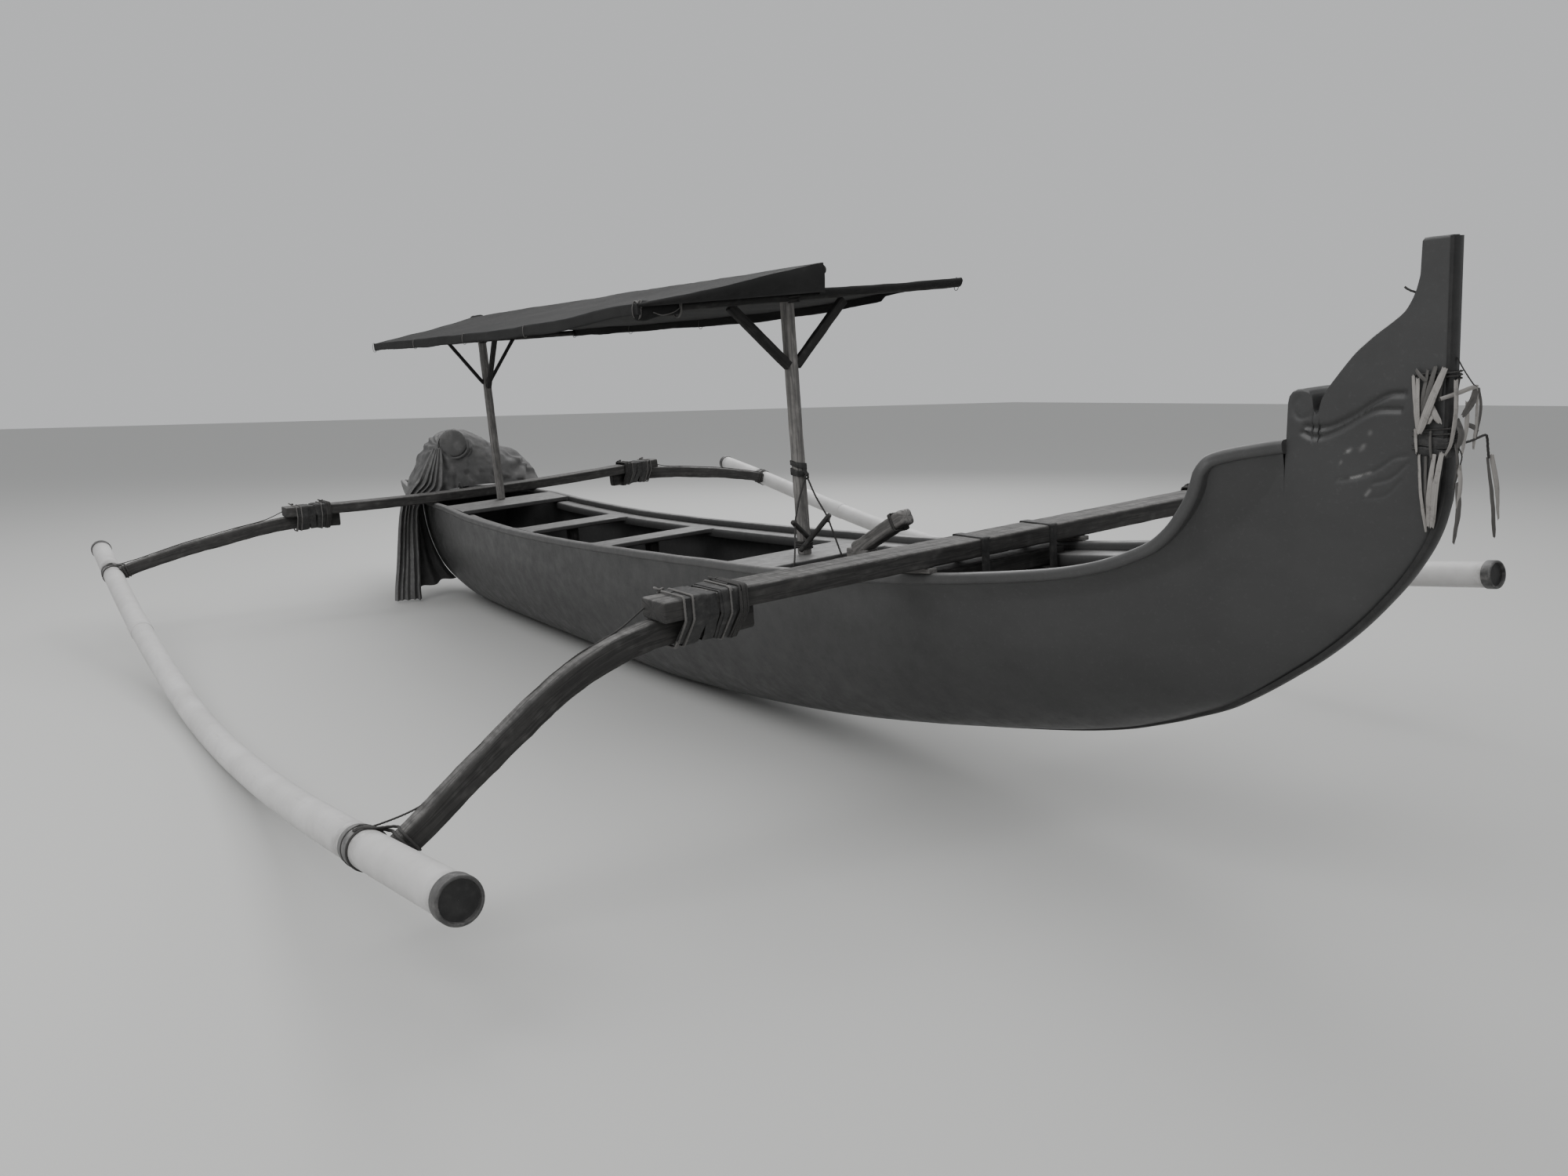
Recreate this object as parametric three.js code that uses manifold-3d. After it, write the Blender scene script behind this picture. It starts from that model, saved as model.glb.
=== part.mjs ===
// Outrigger canoe: a double-ended moulded hull with a high carved bow, two pipe floats on
// timber beams and knees, a cloth canopy on two posts, and a covered long-shaft motor aft.
// Millimetres. The boat is drawn upright (+X to the bow, +Y to port, +Z up, keel at z = 0),
// and at the end it is laid over on its keel and starboard float, as it rests on a beach.
import * as THREE from 'three';
import { mergeVertices } from 'three/addons/utils/BufferGeometryUtils.js';
import Module from 'manifold-3d';

const wasm = await Module();
wasm.setup();

// Driving sizes
const GAP = 0.3;              // clearance between pieces that touch
const WALL = 18;              // hull laminate and core
const RIM = { width: 44, height: 32, inset: 6 };
const LEDGE = { width: 104, thickness: 20, lip: 46, lipThickness: 14 };
const FLOAT_RADIUS = 57;      // 114 mm pipe
const CAP = { extra: 5, length: 42 };
const BEAM = { width: 150, height: 65, halfLength: 1400 };
const FRONT_BEAM = { x: 2965, bottom: 955, rise: 0 };
const REAR_BEAM = { x: -2505, bottom: 779, rise: 40 };
const POST = { x: 48, y: 46 };
const FRONT_POST_X = 1701;
const REAR_POST_X = -2168;
const BAR_RADIUS = 20;        // canopy bars across the boat
const POLE_RADIUS = 22;       // ridge pole
const POLE = { z: 2022, back: -2235, front: 1990 };
const CLOTH = 9;              // canopy and cover, as solids
const STEM_HALF_WIDTH = 22;
const AXIS_X = new THREE.Vector3(1, 0, 0);

// Materials
const material = (color, roughness, metalness = 0) =>
  new THREE.MeshStandardMaterial({ color, roughness, metalness });
const LAMINATE = material(0x4c4d4c, 0.45);
const RIM_LAMINATE = material(0x8a8b88, 0.5);
const PIPE = material(0xdcdcd8, 0.4);
const PIPE_CAP = material(0x2e2e2d, 0.6);
const DARK_TIMBER = material(0x332f2a, 0.8);
const WORN_TIMBER = material(0x77736b, 0.85);
const POST_TIMBER = material(0x6b6760, 0.8);
const STRAP = material(0x1f1f1e, 0.7);
const CANVAS = material(0x3a3b3a, 0.9);
const COVER = material(0x8f908c, 0.9);
const IRON = material(0x3d3e40, 0.55, 0.6);
const BRONZE = material(0x8a8478, 0.4, 0.8);

// The hull's sections, from the stern tip to the stem. The side swells from the keel to a
// crease below the sheer, and from the crease it flares outward to the sheer.
// [x, keel height, sheer height, half-breadth at the sheer, fullness, crease below sheer, flare]
const STATIONS = [
  [-4625, 700, 774, 9, 1.2, 52, 0],
  [-4560, 640, 775, 24, 1.2, 50, 0],
  [-4300, 560, 776, 80, 1.3, 60, 0],
  [-4000, 505, 776, 140, 1.4, 60, 0],
  [-3760, 440, 776, 188, 1.5, 60, 0],
  [-3560, 310, 776, 228, 1.6, 60, 0],
  [-3400, 215, 776, 260, 1.7, 60, 0],
  [-3200, 125, 776, 298, 1.8, 60, 0],
  [-2800, 40, 777, 360, 2.0, 60, 0],
  [-2300, 0, 777, 407, 2.2, 60, 2],
  [-1600, 0, 752, 437, 2.3, 60, 4],
  [-900, 0, 744, 445, 2.3, 60, 4],
  [-200, 0, 755, 445, 2.3, 60, 4],
  [420, 0, 775, 442, 2.3, 60, 4],
  [1000, 25, 798, 437, 2.2, 62, 5],
  [1480, 64, 820, 433, 2.2, 66, 8],
  [2080, 132, 851, 427, 2.1, 74, 14],
  [2620, 218, 893, 414, 2.0, 86, 24],
  [3080, 306, 941, 390, 1.9, 95, 34],
  [3400, 375, 980, 352, 1.9, 100, 42],
  [3600, 430, 1014, 320, 1.8, 102, 46],
  [3720, 473, 1045, 299, 1.8, 104, 49],
  [3800, 504, 1076, 274, 1.8, 106, 51],
  [3865, 532, 1110, 251, 1.8, 112, 53],
  [3910, 551, 1152, 234, 1.8, 132, 54],
  [3945, 567, 1202, 220, 1.8, 165, 55],
  [3975, 582, 1264, 206, 1.8, 205, 56],
  [3990, 590, 1320, 198, 1.8, 240, 56],
  [4022, 610, 1360, 182, 1.8, 250, 56],
  [4075, 644, 1377, 160, 1.8, 216, 52],
  [4155, 700, 1392, 124, 1.8, 150, 34],
  [4206, 738, 1399, 96, 1.8, 70, 10],
  [4245, 767, 1404, 84, 1.8, 60, 0],
  [4360, 868, 1412, 72, 1.7, 60, 0],
  [4445, 960, 1416, 58, 1.6, 60, 0],
  [4535, 1080, 1420, 40, 1.5, 60, 0],
  [4585, 1182, 1422, 27, 1.4, 60, 0],
  [4605, 1262, 1423, 22, 1.3, 60, 0],
].map(([x, keel, sheer, half, full, drop, flare]) => ({ x, keel, sheer, half, full, drop, flare }));

// The open part between the closed stern and the closed bow, and the joints of its three bays
const OPEN = { back: -2950, front: 3600 };
const BAYS = [
  ['aft', OPEN.back, -940],
  ['middle', -940, 1690],
  ['forward', 1690, OPEN.front],
];

function station(x) {
  const next = Math.max(1, STATIONS.findIndex((s) => s.x >= x));
  const a = STATIONS[next - 1];
  const b = STATIONS[next];
  const t = (x - a.x) / (b.x - a.x);
  return Object.fromEntries(Object.keys(a).map((key) => [key, a[key] + (b[key] - a[key]) * t]));
}

// Stations from back to front, with the two ends put in between the table's rows
function stationsBetween(back, front) {
  const inner = STATIONS.filter((s) => s.x > back + 1 && s.x < front - 1);
  return [station(back), ...inner, station(front)];
}

// Half-breadth of the outer skin at a height
function skin(s, z) {
  const crease = s.sheer - s.drop;
  const waist = s.half - s.flare;
  if (z > crease) return waist + s.flare * Math.pow((z - crease) / s.drop, 1.4);
  const t = Math.max((z - s.keel) / (crease - s.keel), 0);
  return waist * Math.pow(1 - Math.pow(1 - t, s.full), 1 / 1.9);
}

// Loft: rings of the same number of points, joined in order and closed at both ends
function loft(rings) {
  const count = rings[0].length;
  const faces = [];
  for (let r = 0; r < rings.length - 1; r += 1) {
    for (let i = 0; i < count; i += 1) {
      const j = (i + 1) % count;
      const [a, b] = [r * count + i, r * count + j];
      const [c, d] = [a + count, b + count];
      faces.push([a, c, b], [b, c, d]);
    }
  }
  faces.push(...endCap(rings[0], 0, 1), ...endCap(rings.at(-1), (rings.length - 1) * count, -1));
  const geometry = new THREE.BufferGeometry();
  geometry.setAttribute('position', new THREE.Float32BufferAttribute(rings.flat(2), 3));
  geometry.setIndex(faces.flat());
  return volume(geometry) < 0 ? flipped(geometry) : geometry;
}

// Triangles over an end ring, wound with the ring (turn 1) or against it (turn -1)
function endCap(ring, base, turn) {
  const spans = [0, 1, 2].map((k) => {
    const values = ring.map((p) => p[k]);
    return Math.max(...values) - Math.min(...values);
  });
  const thin = spans.indexOf(Math.min(...spans));
  const [u, v] = [0, 1, 2].filter((k) => k !== thin);
  const flat = ring.map((p) => new THREE.Vector2(p[u], p[v]));
  const area = (loop) => THREE.ShapeUtils.area(loop);
  const triangles = THREE.ShapeUtils.triangulateShape(flat, []);
  const sum = triangles.reduce((total, t) => total + area(t.map((i) => flat[i])), 0);
  const same = Math.sign(sum) === Math.sign(area(flat)) ? turn : -turn;
  return triangles.map(([i, j, k]) => (same > 0 ? [base + i, base + j, base + k] : [base + i, base + k, base + j]));
}

// A sheet with thickness: two grids of points [row][column], one for each face
function slab(under, over) {
  const [rows, columns] = [under.length, under[0].length];
  const at = (face, r, c) => (face * rows + r) * columns + c;
  const faces = [];
  const quad = (a, b, c, d) => faces.push([a, b, c], [a, c, d]);
  for (let r = 0; r < rows - 1; r += 1) {
    for (let c = 0; c < columns - 1; c += 1) {
      faces.push([at(0, r, c), at(0, r, c + 1), at(0, r + 1, c + 1)]);
      faces.push([at(0, r, c), at(0, r + 1, c + 1), at(0, r + 1, c)]);
      faces.push([at(1, r, c), at(1, r + 1, c + 1), at(1, r, c + 1)]);
      faces.push([at(1, r, c), at(1, r + 1, c), at(1, r + 1, c + 1)]);
    }
    const last = columns - 1;
    quad(at(0, r, 0), at(0, r + 1, 0), at(1, r + 1, 0), at(1, r, 0));
    quad(at(0, r, last), at(1, r, last), at(1, r + 1, last), at(0, r + 1, last));
  }
  for (let c = 0; c < columns - 1; c += 1) {
    const last = rows - 1;
    quad(at(0, 0, c), at(1, 0, c), at(1, 0, c + 1), at(0, 0, c + 1));
    quad(at(0, last, c), at(0, last, c + 1), at(1, last, c + 1), at(1, last, c));
  }
  const geometry = new THREE.BufferGeometry();
  geometry.setAttribute('position', new THREE.Float32BufferAttribute([under, over].flat(3), 3));
  geometry.setIndex(faces.flat());
  return volume(geometry) < 0 ? flipped(geometry) : geometry;
}

function volume(geometry) {
  const p = geometry.getAttribute('position');
  const index = geometry.getIndex();
  const [a, b, c] = [new THREE.Vector3(), new THREE.Vector3(), new THREE.Vector3()];
  let sum = 0;
  for (let i = 0; i < index.count; i += 3) {
    a.fromBufferAttribute(p, index.getX(i));
    b.fromBufferAttribute(p, index.getX(i + 1));
    c.fromBufferAttribute(p, index.getX(i + 2));
    sum += a.dot(b.cross(c));
  }
  return sum / 6;
}

function flipped(geometry) {
  const index = geometry.getIndex();
  for (let i = 0; i < index.count; i += 3) {
    const [b, c] = [index.getX(i + 1), index.getX(i + 2)];
    index.setX(i + 1, c);
    index.setX(i + 2, b);
  }
  return geometry;
}

// Booleans
function toSolid(geometry) {
  const bare = geometry.clone();
  for (const name of Object.keys(bare.attributes)) {
    if (name !== 'position') bare.deleteAttribute(name);
  }
  const merged = mergeVertices(bare, 1e-3);
  const mesh = new wasm.Mesh({
    numProp: 3,
    vertProperties: new Float32Array(merged.getAttribute('position').array),
    triVerts: new Uint32Array(merged.getIndex().array),
  });
  return new wasm.Manifold(mesh);
}

function toGeometry(solid) {
  const mesh = solid.getMesh();
  const geometry = new THREE.BufferGeometry();
  geometry.setAttribute('position', new THREE.Float32BufferAttribute(mesh.vertProperties, 3));
  geometry.setIndex(Array.from(mesh.triVerts));
  return geometry;
}

const join = (...parts) => toGeometry(parts.map(toSolid).reduce((a, b) => a.add(b)));
const cut = (body, ...tools) => toGeometry(tools.map(toSolid).reduce((a, b) => a.subtract(b), toSolid(body)));

// Plain shapes placed by their middle or their corners
function boxBetween([x0, y0, z0], [x1, y1, z1]) {
  const geometry = new THREE.BoxGeometry(x1 - x0, y1 - y0, z1 - z0);
  return geometry.translate((x0 + x1) / 2, (y0 + y1) / 2, (z0 + z1) / 2);
}

const UP = new THREE.Vector3(0, 1, 0);

function rod(from, to, radius, sides = 12) {
  const [a, b] = [new THREE.Vector3(...from), new THREE.Vector3(...to)];
  const way = b.clone().sub(a);
  const geometry = new THREE.CylinderGeometry(radius, radius, way.length(), sides);
  geometry.applyQuaternion(new THREE.Quaternion().setFromUnitVectors(UP, way.clone().normalize()));
  return geometry.translate(...a.add(b).multiplyScalar(0.5).toArray());
}

// A bar that runs across the boat: section(y) gives its x and z limits
function barAcross(ys, section) {
  return loft(ys.map((y) => {
    const { x0, x1, z0, z1 } = section(y);
    return [[x0, y, z0], [x1, y, z0], [x1, y, z1], [x0, y, z1]];
  }));
}

function spread(from, to, steps) {
  return Array.from({ length: steps + 1 }, (_, i) => from + ((to - from) * i) / steps);
}

// Hull: half a section from the keel to the sheer, as [y, z], pulled in by an inset
const LOWER_STEPS = 9;
const UPPER_STEPS = 2;

function halfSection(s, inset = 0) {
  const low = s.keel + inset;
  const crease = s.sheer - s.drop;
  const lower = spread(0, 1, LOWER_STEPS).map((t) => low + (crease - low) * Math.pow(t, 1.5));
  const upper = spread(crease, s.sheer - RIM.height, UPPER_STEPS).slice(1);
  return [...lower, ...upper].map((z, i) => (
    [i ? Math.max(skin(s, z - inset * 0.4) - inset, 1) : 0, z]));
}

function wholeRing(s, half) {
  const starboard = half.slice(1).map(([y, z]) => [s.x, -y, z]).reverse();
  return [...half.map(([y, z]) => [s.x, y, z]), ...starboard];
}

function hullBlock(back, front) {
  return loft(stationsBetween(back, front).map((s) => wholeRing(s, halfSection(s))));
}

// One bay of the open hull: a trough between two places, WALL thick
function hullBay(back, front) {
  return loft(stationsBetween(back, front).map((s) => {
    const around = (half) => [
      ...half.slice(1).map(([y, z]) => [s.x, -y, z]).reverse(), ...half.map(([y, z]) => [s.x, y, z])];
    return [...around(halfSection(s)), ...around(halfSection(s, WALL)).reverse()];
  }));
}

// The space inside the open part, up past the sheer
function hullInside(inset) {
  return loft(stationsBetween(OPEN.back, OPEN.front).map((s) => {
    const half = halfSection(s, inset);
    return wholeRing(s, [...half, [half.at(-1)[0], 1400]]);
  }));
}

// The carved head over the bow: its side outline, from the step behind the neck to the stem
const BOW_HEAD = {
  back: 4206, front: 4604, low: 1340, high: 1889, thickLow: 84, thickHigh: 46, thickFront: 20,
};

function bowHead() {
  const { back, front, low, high, thickLow, thickHigh, thickFront } = BOW_HEAD;
  const outline = new THREE.Shape();
  outline.moveTo(back, low);
  outline.lineTo(back, 1508);
  outline.quadraticCurveTo(4196, 1522, 4212, 1523);
  outline.lineTo(4246, 1526);
  outline.lineTo(4250, 1446);
  outline.quadraticCurveTo(4262, 1424, 4276, 1444);
  outline.lineTo(4284, 1536);
  outline.quadraticCurveTo(4292, 1572, 4330, 1597);
  outline.lineTo(4424, 1672);
  outline.quadraticCurveTo(4498, 1718, 4518, 1764);
  outline.quadraticCurveTo(4540, 1812, 4536, 1846);
  outline.lineTo(4528, 1878);
  outline.quadraticCurveTo(4532, high, 4548, high);
  outline.lineTo(front, high);
  outline.lineTo(front, low);
  outline.closePath();
  const plate = new THREE.ExtrudeGeometry(outline, { depth: 2, bevelEnabled: false, curveSegments: 5 });
  plate.rotateX(Math.PI / 2).translate(0, 1, 0);
  const points = plate.getAttribute('position');
  for (let i = 0; i < points.count; i += 1) {
    const along = (points.getX(i) - back) / (front - back);
    const up = (points.getZ(i) - low) / (high - low);
    const thick = THREE.MathUtils.lerp(thickLow, thickHigh, up);
    const half = THREE.MathUtils.lerp(thick, thickFront, along);
    points.setY(i, Math.sign(points.getY(i)) * half);
  }
  return plate;
}

// The facing strip down the front of the stem, from its top to the turn of the forefoot
const STEM_BAND = { from: 4155, thickness: 10 };

function stemBand() {
  const line = STATIONS.filter((s) => s.x >= STEM_BAND.from).map((s) => [s.x, s.keel]);
  line.push([STATIONS.at(-1).x, BOW_HEAD.high]);
  const offset = (distance) => line.map(([x, z], i) => {
    const a = line[Math.max(i - 1, 0)];
    const b = line[Math.min(i + 1, line.length - 1)];
    const way = new THREE.Vector2(b[0] - a[0], b[1] - a[1]).normalize();
    return new THREE.Vector2(x + way.y * distance, z - way.x * distance);
  });
  const shape = new THREE.Shape([...offset(-6), ...offset(STEM_BAND.thickness).reverse()]);
  const half = STEM_HALF_WIDTH - 1;
  const strip = new THREE.ExtrudeGeometry(shape, { depth: 2 * half, bevelEnabled: false });
  return strip.rotateX(Math.PI / 2).translate(0, half, 0);
}

// The bow: closed below a foredeck that lies between the raised sides
const FOREDECK = { back: 3640, front: 4150, low: 962, high: 1075, wall: 26 };

function foredeckSpace() {
  const { back, front, low, high, wall } = FOREDECK;
  return loft(stationsBetween(back, front).map((s) => {
    const deck = low + ((high - low) * (s.x - back)) / (front - back);
    const heights = spread(deck, Math.max(s.sheer, deck + 30), 3);
    const half = heights.map((z) => [skin(s, Math.min(z, s.sheer)) - wall, z]);
    half.push([half.at(-1)[0], 1600]);
    const starboard = half.map(([y, z]) => [s.x, -y, z]).reverse();
    return [...half.map(([y, z]) => [s.x, y, z]), ...starboard];
  }));
}

function hullBow() {
  const closed = hullBlock(OPEN.front + GAP, STATIONS.at(-1).x);
  return cut(join(closed, bowHead(), stemBand()), foredeckSpace());
}

// Rolled rim along each sheer, from the stern tip to the bow's head
const RIM_ENDS = [-4560, BOW_HEAD.back - GAP];

function rim(side) {
  return loft(stationsBetween(...RIM_ENDS).map((s) => {
    const { width, height, inset } = RIM;
    const z0 = s.sheer - height + GAP;
    const outer = skin(s, s.sheer - height) + inset;
    const inner = Math.max(outer - width, 1);
    const r = Math.min(11, (outer - inner) * 0.35);
    const profile = [
      [inner, z0], [outer - 4, z0], [outer, z0 + 8], [outer, s.sheer - r],
      [outer - r, s.sheer], [inner + r, s.sheer], [inner, s.sheer - r],
    ];
    return profile.map(([y, z]) => [s.x, side * y, z]);
  }));
}

// Moulded side ledge with a turned-down lip
function ledgeTop(x) {
  return station(x).sheer - RIM.height;
}

function ledgeOuter(x) {
  const s = station(x);
  return skin(s, s.sheer - RIM.height - LEDGE.thickness) - WALL - 3;
}

function ledge(side) {
  const xs = [-1886, ...STATIONS.map((s) => s.x).filter((x) => x > -1880 && x < 3300), 3340];
  const { width, thickness, lip, lipThickness } = LEDGE;
  return loft(xs.map((x) => {
    const top = ledgeTop(x);
    const outer = ledgeOuter(x) - GAP;
    const inner = outer - width;
    const profile = [
      [outer, top - thickness], [outer, top], [inner + 6, top], [inner, top - 6],
      [inner, top - lip], [inner + lipThickness, top - lip], [inner + lipThickness, top - thickness],
    ];
    return profile.map(([y, z]) => [x, side * y, z]);
  }));
}

const notchedLedge = (side) => cut(ledge(side), crossPlank(GAP));

// Thwarts set flush between the ledges: [name, back edge, front edge]
const THWART_THICKNESS = 26;
const THWARTS = [
  ['thwart_2', -1050, -828],
  ['thwart_3', 55, 276],
  ['thwart_4_mast', 1500, 1880],
  ['thwart_5_bow', 2060, 2240],
];

function thwart([, back, front]) {
  const xs = spread(back, front, 4);
  const slope = (ledgeTop(front) - ledgeTop(back)) / (front - back);
  return loft(xs.map((x) => {
    const top = ledgeTop(back) + (x - back) * slope;
    const half = ledgeOuter(x) - LEDGE.width - 2 * GAP;
    const under = top - THWART_THICKNESS;
    return [[x, -half, under], [x, half, under], [x, half, top], [x, -half, top]];
  }));
}

// The stern thwart lies on the hull's edge, between the rims
const STERN_THWART = { back: -2213, front: -1890, thickness: 30 };

function sternThwart() {
  const { back, front, thickness } = STERN_THWART;
  return loft(spread(back, front, 3).map((x) => {
    const s = station(x);
    const half = skin(s, s.sheer - RIM.height) + RIM.inset - RIM.width - GAP;
    const z = s.sheer - RIM.height + GAP;
    return [[x, -half, z], [x, half, z], [x, half, z + thickness], [x, -half, z + thickness]];
  }));
}

const sternThwartTop = (x) => station(x).sheer - RIM.height + GAP + STERN_THWART.thickness;

// Floor boards on three bearers, and the short stanchions under the middle thwarts
const FLOOR = { z: 150, thickness: 18, back: -2000, front: 1300, half: 150, bearers: [-1700, -200, 1150] };

function floorBoards() {
  const { z, thickness, back, front, half, bearers } = FLOOR;
  const boards = boxBetween([back, -half, z - thickness], [front, half, z]);
  const beams = bearers.map((x) => boxBetween([x - 24, -half, 0], [x + 24, half, z - thickness / 2]));
  return toGeometry(toSolid(join(boards, ...beams)).intersect(toSolid(hullInside(WALL + 1.5))));
}

function stanchion(x) {
  const half = 24;
  const under = Math.min(ledgeTop(x - half), ledgeTop(x + half)) - THWART_THICKNESS;
  return boxBetween([x - half, -half, FLOOR.z + GAP], [x + half, half, under - GAP]);
}

// Outrigger floats: [x, half-spread, height of the centre line]
const FLOAT_LINE = [
  [-3200, 2467, 690],
  [-2560, 2464, 588],
  [-1700, 2450, 440],
  [-900, 2428, 322],
  [0, 2400, 240],
  [800, 2376, 243],
  [1700, 2350, 312],
  [2600, 2325, 428],
  [3565, 2267, 547],
];

const floatCurve = new THREE.CatmullRomCurve3(
  FLOAT_LINE.map(([x, y, z]) => new THREE.Vector3(x, y, z)), false, 'catmullrom', 0.5);

function floatAt(x) {
  let [low, high] = [0, 1];
  for (let i = 0; i < 40; i += 1) {
    const middle = (low + high) / 2;
    if (floatCurve.getPoint(middle).x < x) low = middle;
    else high = middle;
  }
  return floatCurve.getPoint(low);
}

const FLOAT_ENDS = [-3180, 3545];
const FLOAT_SIDES = 18;

function pipe(side, xs, radius) {
  return loft(xs.map((x) => {
    const c = floatAt(x);
    return spread(0, 2 * Math.PI, FLOAT_SIDES).slice(0, -1).map((a) =>
      [x, side * (c.y + radius * Math.cos(a)), c.z + radius * Math.sin(a)]);
  }));
}

// A ring round the float, lofted over a length, with the pipe cut out of it
function pipeRing(side, x0, x1, inner, outer) {
  const ring = pipe(side, spread(x0, x1, 2), outer);
  const hole = pipe(side, spread(x0 - 20, x1 + 20, 3), inner);
  return cut(ring, hole);
}

// Beams across the boat. They rise towards their ends by `rise`.
const beamBottom = (beam, y) => beam.bottom + beam.rise * Math.pow(Math.abs(y) / BEAM.halfLength, 2);
const BEAM_STEPS = spread(-1, 1, 16).map((t) => t * BEAM.halfLength);

function beamBar(beam) {
  return barAcross(BEAM_STEPS, (y) => ({
    x0: beam.x - BEAM.width / 2,
    x1: beam.x + BEAM.width / 2,
    z0: beamBottom(beam, y),
    z1: beamBottom(beam, y) + BEAM.height,
  }));
}

// Curved knees from the beams' ends down to the floats.
// Each row: [distance from the centre line, height of the knee's middle]
const KNEE = { width: 72, depth: 92, tipDepth: 74, start: 1040, lashed: 1380, offset: -38 };
const FRONT_KNEE = [[1560, 868], [1716, 800], [1880, 696], [2036, 590], [2160, 502], [2236, 452]];
const REAR_KNEE = [[1600, 752], [1800, 722], [2000, 694], [2200, 654], [2330, 626], [2420, 598]];

function kneeLine(beam, rows) {
  const under = [KNEE.start, (KNEE.start + KNEE.lashed) / 2, KNEE.lashed]
    .map((y) => [y, beamBottom(beam, y) - GAP - KNEE.depth / 2]);
  return new THREE.CatmullRomCurve3(
    [...under, ...rows].map(([y, z]) => new THREE.Vector3(0, y, z)), false, 'catmullrom', 0.5);
}

function knee(side, beam, rows) {
  const line = kneeLine(beam, rows);
  const steps = 18;
  const x = beam.x + KNEE.offset;
  const rings = spread(0, 1, steps).map((t) => {
    const p = line.getPoint(t);
    const way = line.getTangent(t);
    const half = THREE.MathUtils.lerp(KNEE.depth, KNEE.tipDepth, t) / 2;
    const w = THREE.MathUtils.lerp(KNEE.width, KNEE.width * 0.86, t) / 2;
    const corner = (dx, dn) => [x + dx, side * (p.y - way.z * dn), p.z + way.y * dn];
    const c = 10;
    return [
      corner(-w, -half + c), corner(-w + c, -half), corner(w - c, -half), corner(w, -half + c),
      corner(w, half - c), corner(w - c, half), corner(-w + c, half), corner(-w, half - c),
    ];
  });
  const seat = pipe(side, spread(x - 90, x + 90, 4), FLOAT_RADIUS + GAP);
  const clearTop = boxBetween(
    [x - 100, side > 0 ? KNEE.start - 60 : -KNEE.lashed - 40, 0],
    [x + 100, side > 0 ? KNEE.lashed + 40 : -KNEE.start + 60, 3000]);
  const beamTool = barAcross(BEAM_STEPS, (y) => ({
    x0: beam.x - 120, x1: beam.x + 120, z0: beamBottom(beam, y) - GAP, z1: beamBottom(beam, y) + 120,
  }));
  const over = toSolid(beamTool).intersect(toSolid(clearTop));
  return toGeometry(toSolid(loft(rings)).subtract(toSolid(seat)).subtract(over));
}

// Lashing of a beam to its knee: a sleeve round both
const SLEEVE = { wall: 10, from: 1110, to: 1350 };

function beamSleeve(side, beam) {
  const ys = spread(SLEEVE.from, SLEEVE.to, 4).map((y) => side * y);
  const sleeve = (margin, list) => barAcross(list, (y) => ({
    x0: beam.x - BEAM.width / 2 - margin,
    x1: beam.x + BEAM.width / 2 + margin,
    z0: beamBottom(beam, y) - KNEE.depth - 2 * GAP - 4 - margin,
    z1: beamBottom(beam, y) + BEAM.height + margin,
  }));
  const longer = spread(SLEEVE.from - 30, SLEEVE.to + 30, 4).map((y) => side * y);
  return cut(sleeve(SLEEVE.wall, ys), sleeve(GAP, longer));
}

// Plank let into the ledges under the front beam, and two bands that tie them together
const PLANK = { back: 2905, front: 3000, bottom: 862, top: 925, half: 308 };
const BAND = { width: 46, wall: 6, places: [-120, 210] };

function crossPlank(margin = 0) {
  const { back, front, bottom, top, half } = PLANK;
  return boxBetween([back - margin, -half - margin, bottom - margin], [front + margin, half + margin, top + margin]);
}

function beamBand(y) {
  const x0 = FRONT_BEAM.x - BEAM.width / 2;
  const x1 = FRONT_BEAM.x + BEAM.width / 2;
  const z0 = PLANK.bottom;
  const z1 = FRONT_BEAM.bottom + BEAM.height;
  const shell = (m, half) => boxBetween([x0 - m, y - half, z0 - m], [x1 + m, y + half, z1 + m]);
  return cut(shell(BAND.wall, BAND.width / 2), shell(GAP, BAND.width));
}

// Tapered chocks between the front beam and the rims
function beamChock(side) {
  const x0 = FRONT_BEAM.x - 84;
  const x1 = FRONT_BEAM.x + 84;
  const y = 372;
  return loft([x0, x1].map((x) => {
    const floor = station(x).sheer + GAP;
    const top = FRONT_BEAM.bottom - GAP;
    const ring = [[y - 20, floor], [y + 14, floor], [y + 14, top], [y - 20, top]];
    return ring.map(([v, z]) => [x, side * v, z]);
  }));
}

// Bitt that leans forward from the bow thwart
const BITT = { foot: 2110, head: 2452, rise: 0.5, width: 66, depth: 70, heel: 100 };

function bitt() {
  const top = ledgeTop(BITT.foot + BITT.heel) + GAP;
  const rings = spread(BITT.foot, BITT.head, 4).map((x) => {
    const z = top + BITT.depth / 2 + (x - BITT.foot) * BITT.rise;
    const [h, w] = [BITT.depth / 2, BITT.width / 2];
    return [[x, -w, z - h], [x, w, z - h], [x, w, z + h], [x, -w, z + h]];
  });
  const [back, front] = [BITT.foot - 40, BITT.foot + BITT.heel];
  const heel = boxBetween([back, -BITT.width / 2, top], [front, BITT.width / 2, top + 44]);
  return join(loft(rings), heel);
}

// Canopy
const BARS = {
  front: { x: FRONT_POST_X + POST.x / 2 + BAR_RADIUS + GAP, from: -748, to: 950, z: 1928, slope: 0.019 },
  rear: { x: REAR_POST_X - POST.x / 2 - BAR_RADIUS - GAP, from: -712, to: 712, z: 1892, slope: 0 },
};

const barHeight = (bar, y) => bar.z + bar.slope * y;

function canopyBar(bar) {
  const ends = [bar.from, bar.to].map((y) => [bar.x, y, barHeight(bar, y)]);
  return rod(ends[0], ends[1], BAR_RADIUS, 12);
}

function post(x, foot) {
  const top = POLE.z - POLE_RADIUS - GAP;
  return boxBetween([x - POST.x / 2, -POST.y / 2, foot], [x + POST.x / 2, POST.y / 2, top]);
}

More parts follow.
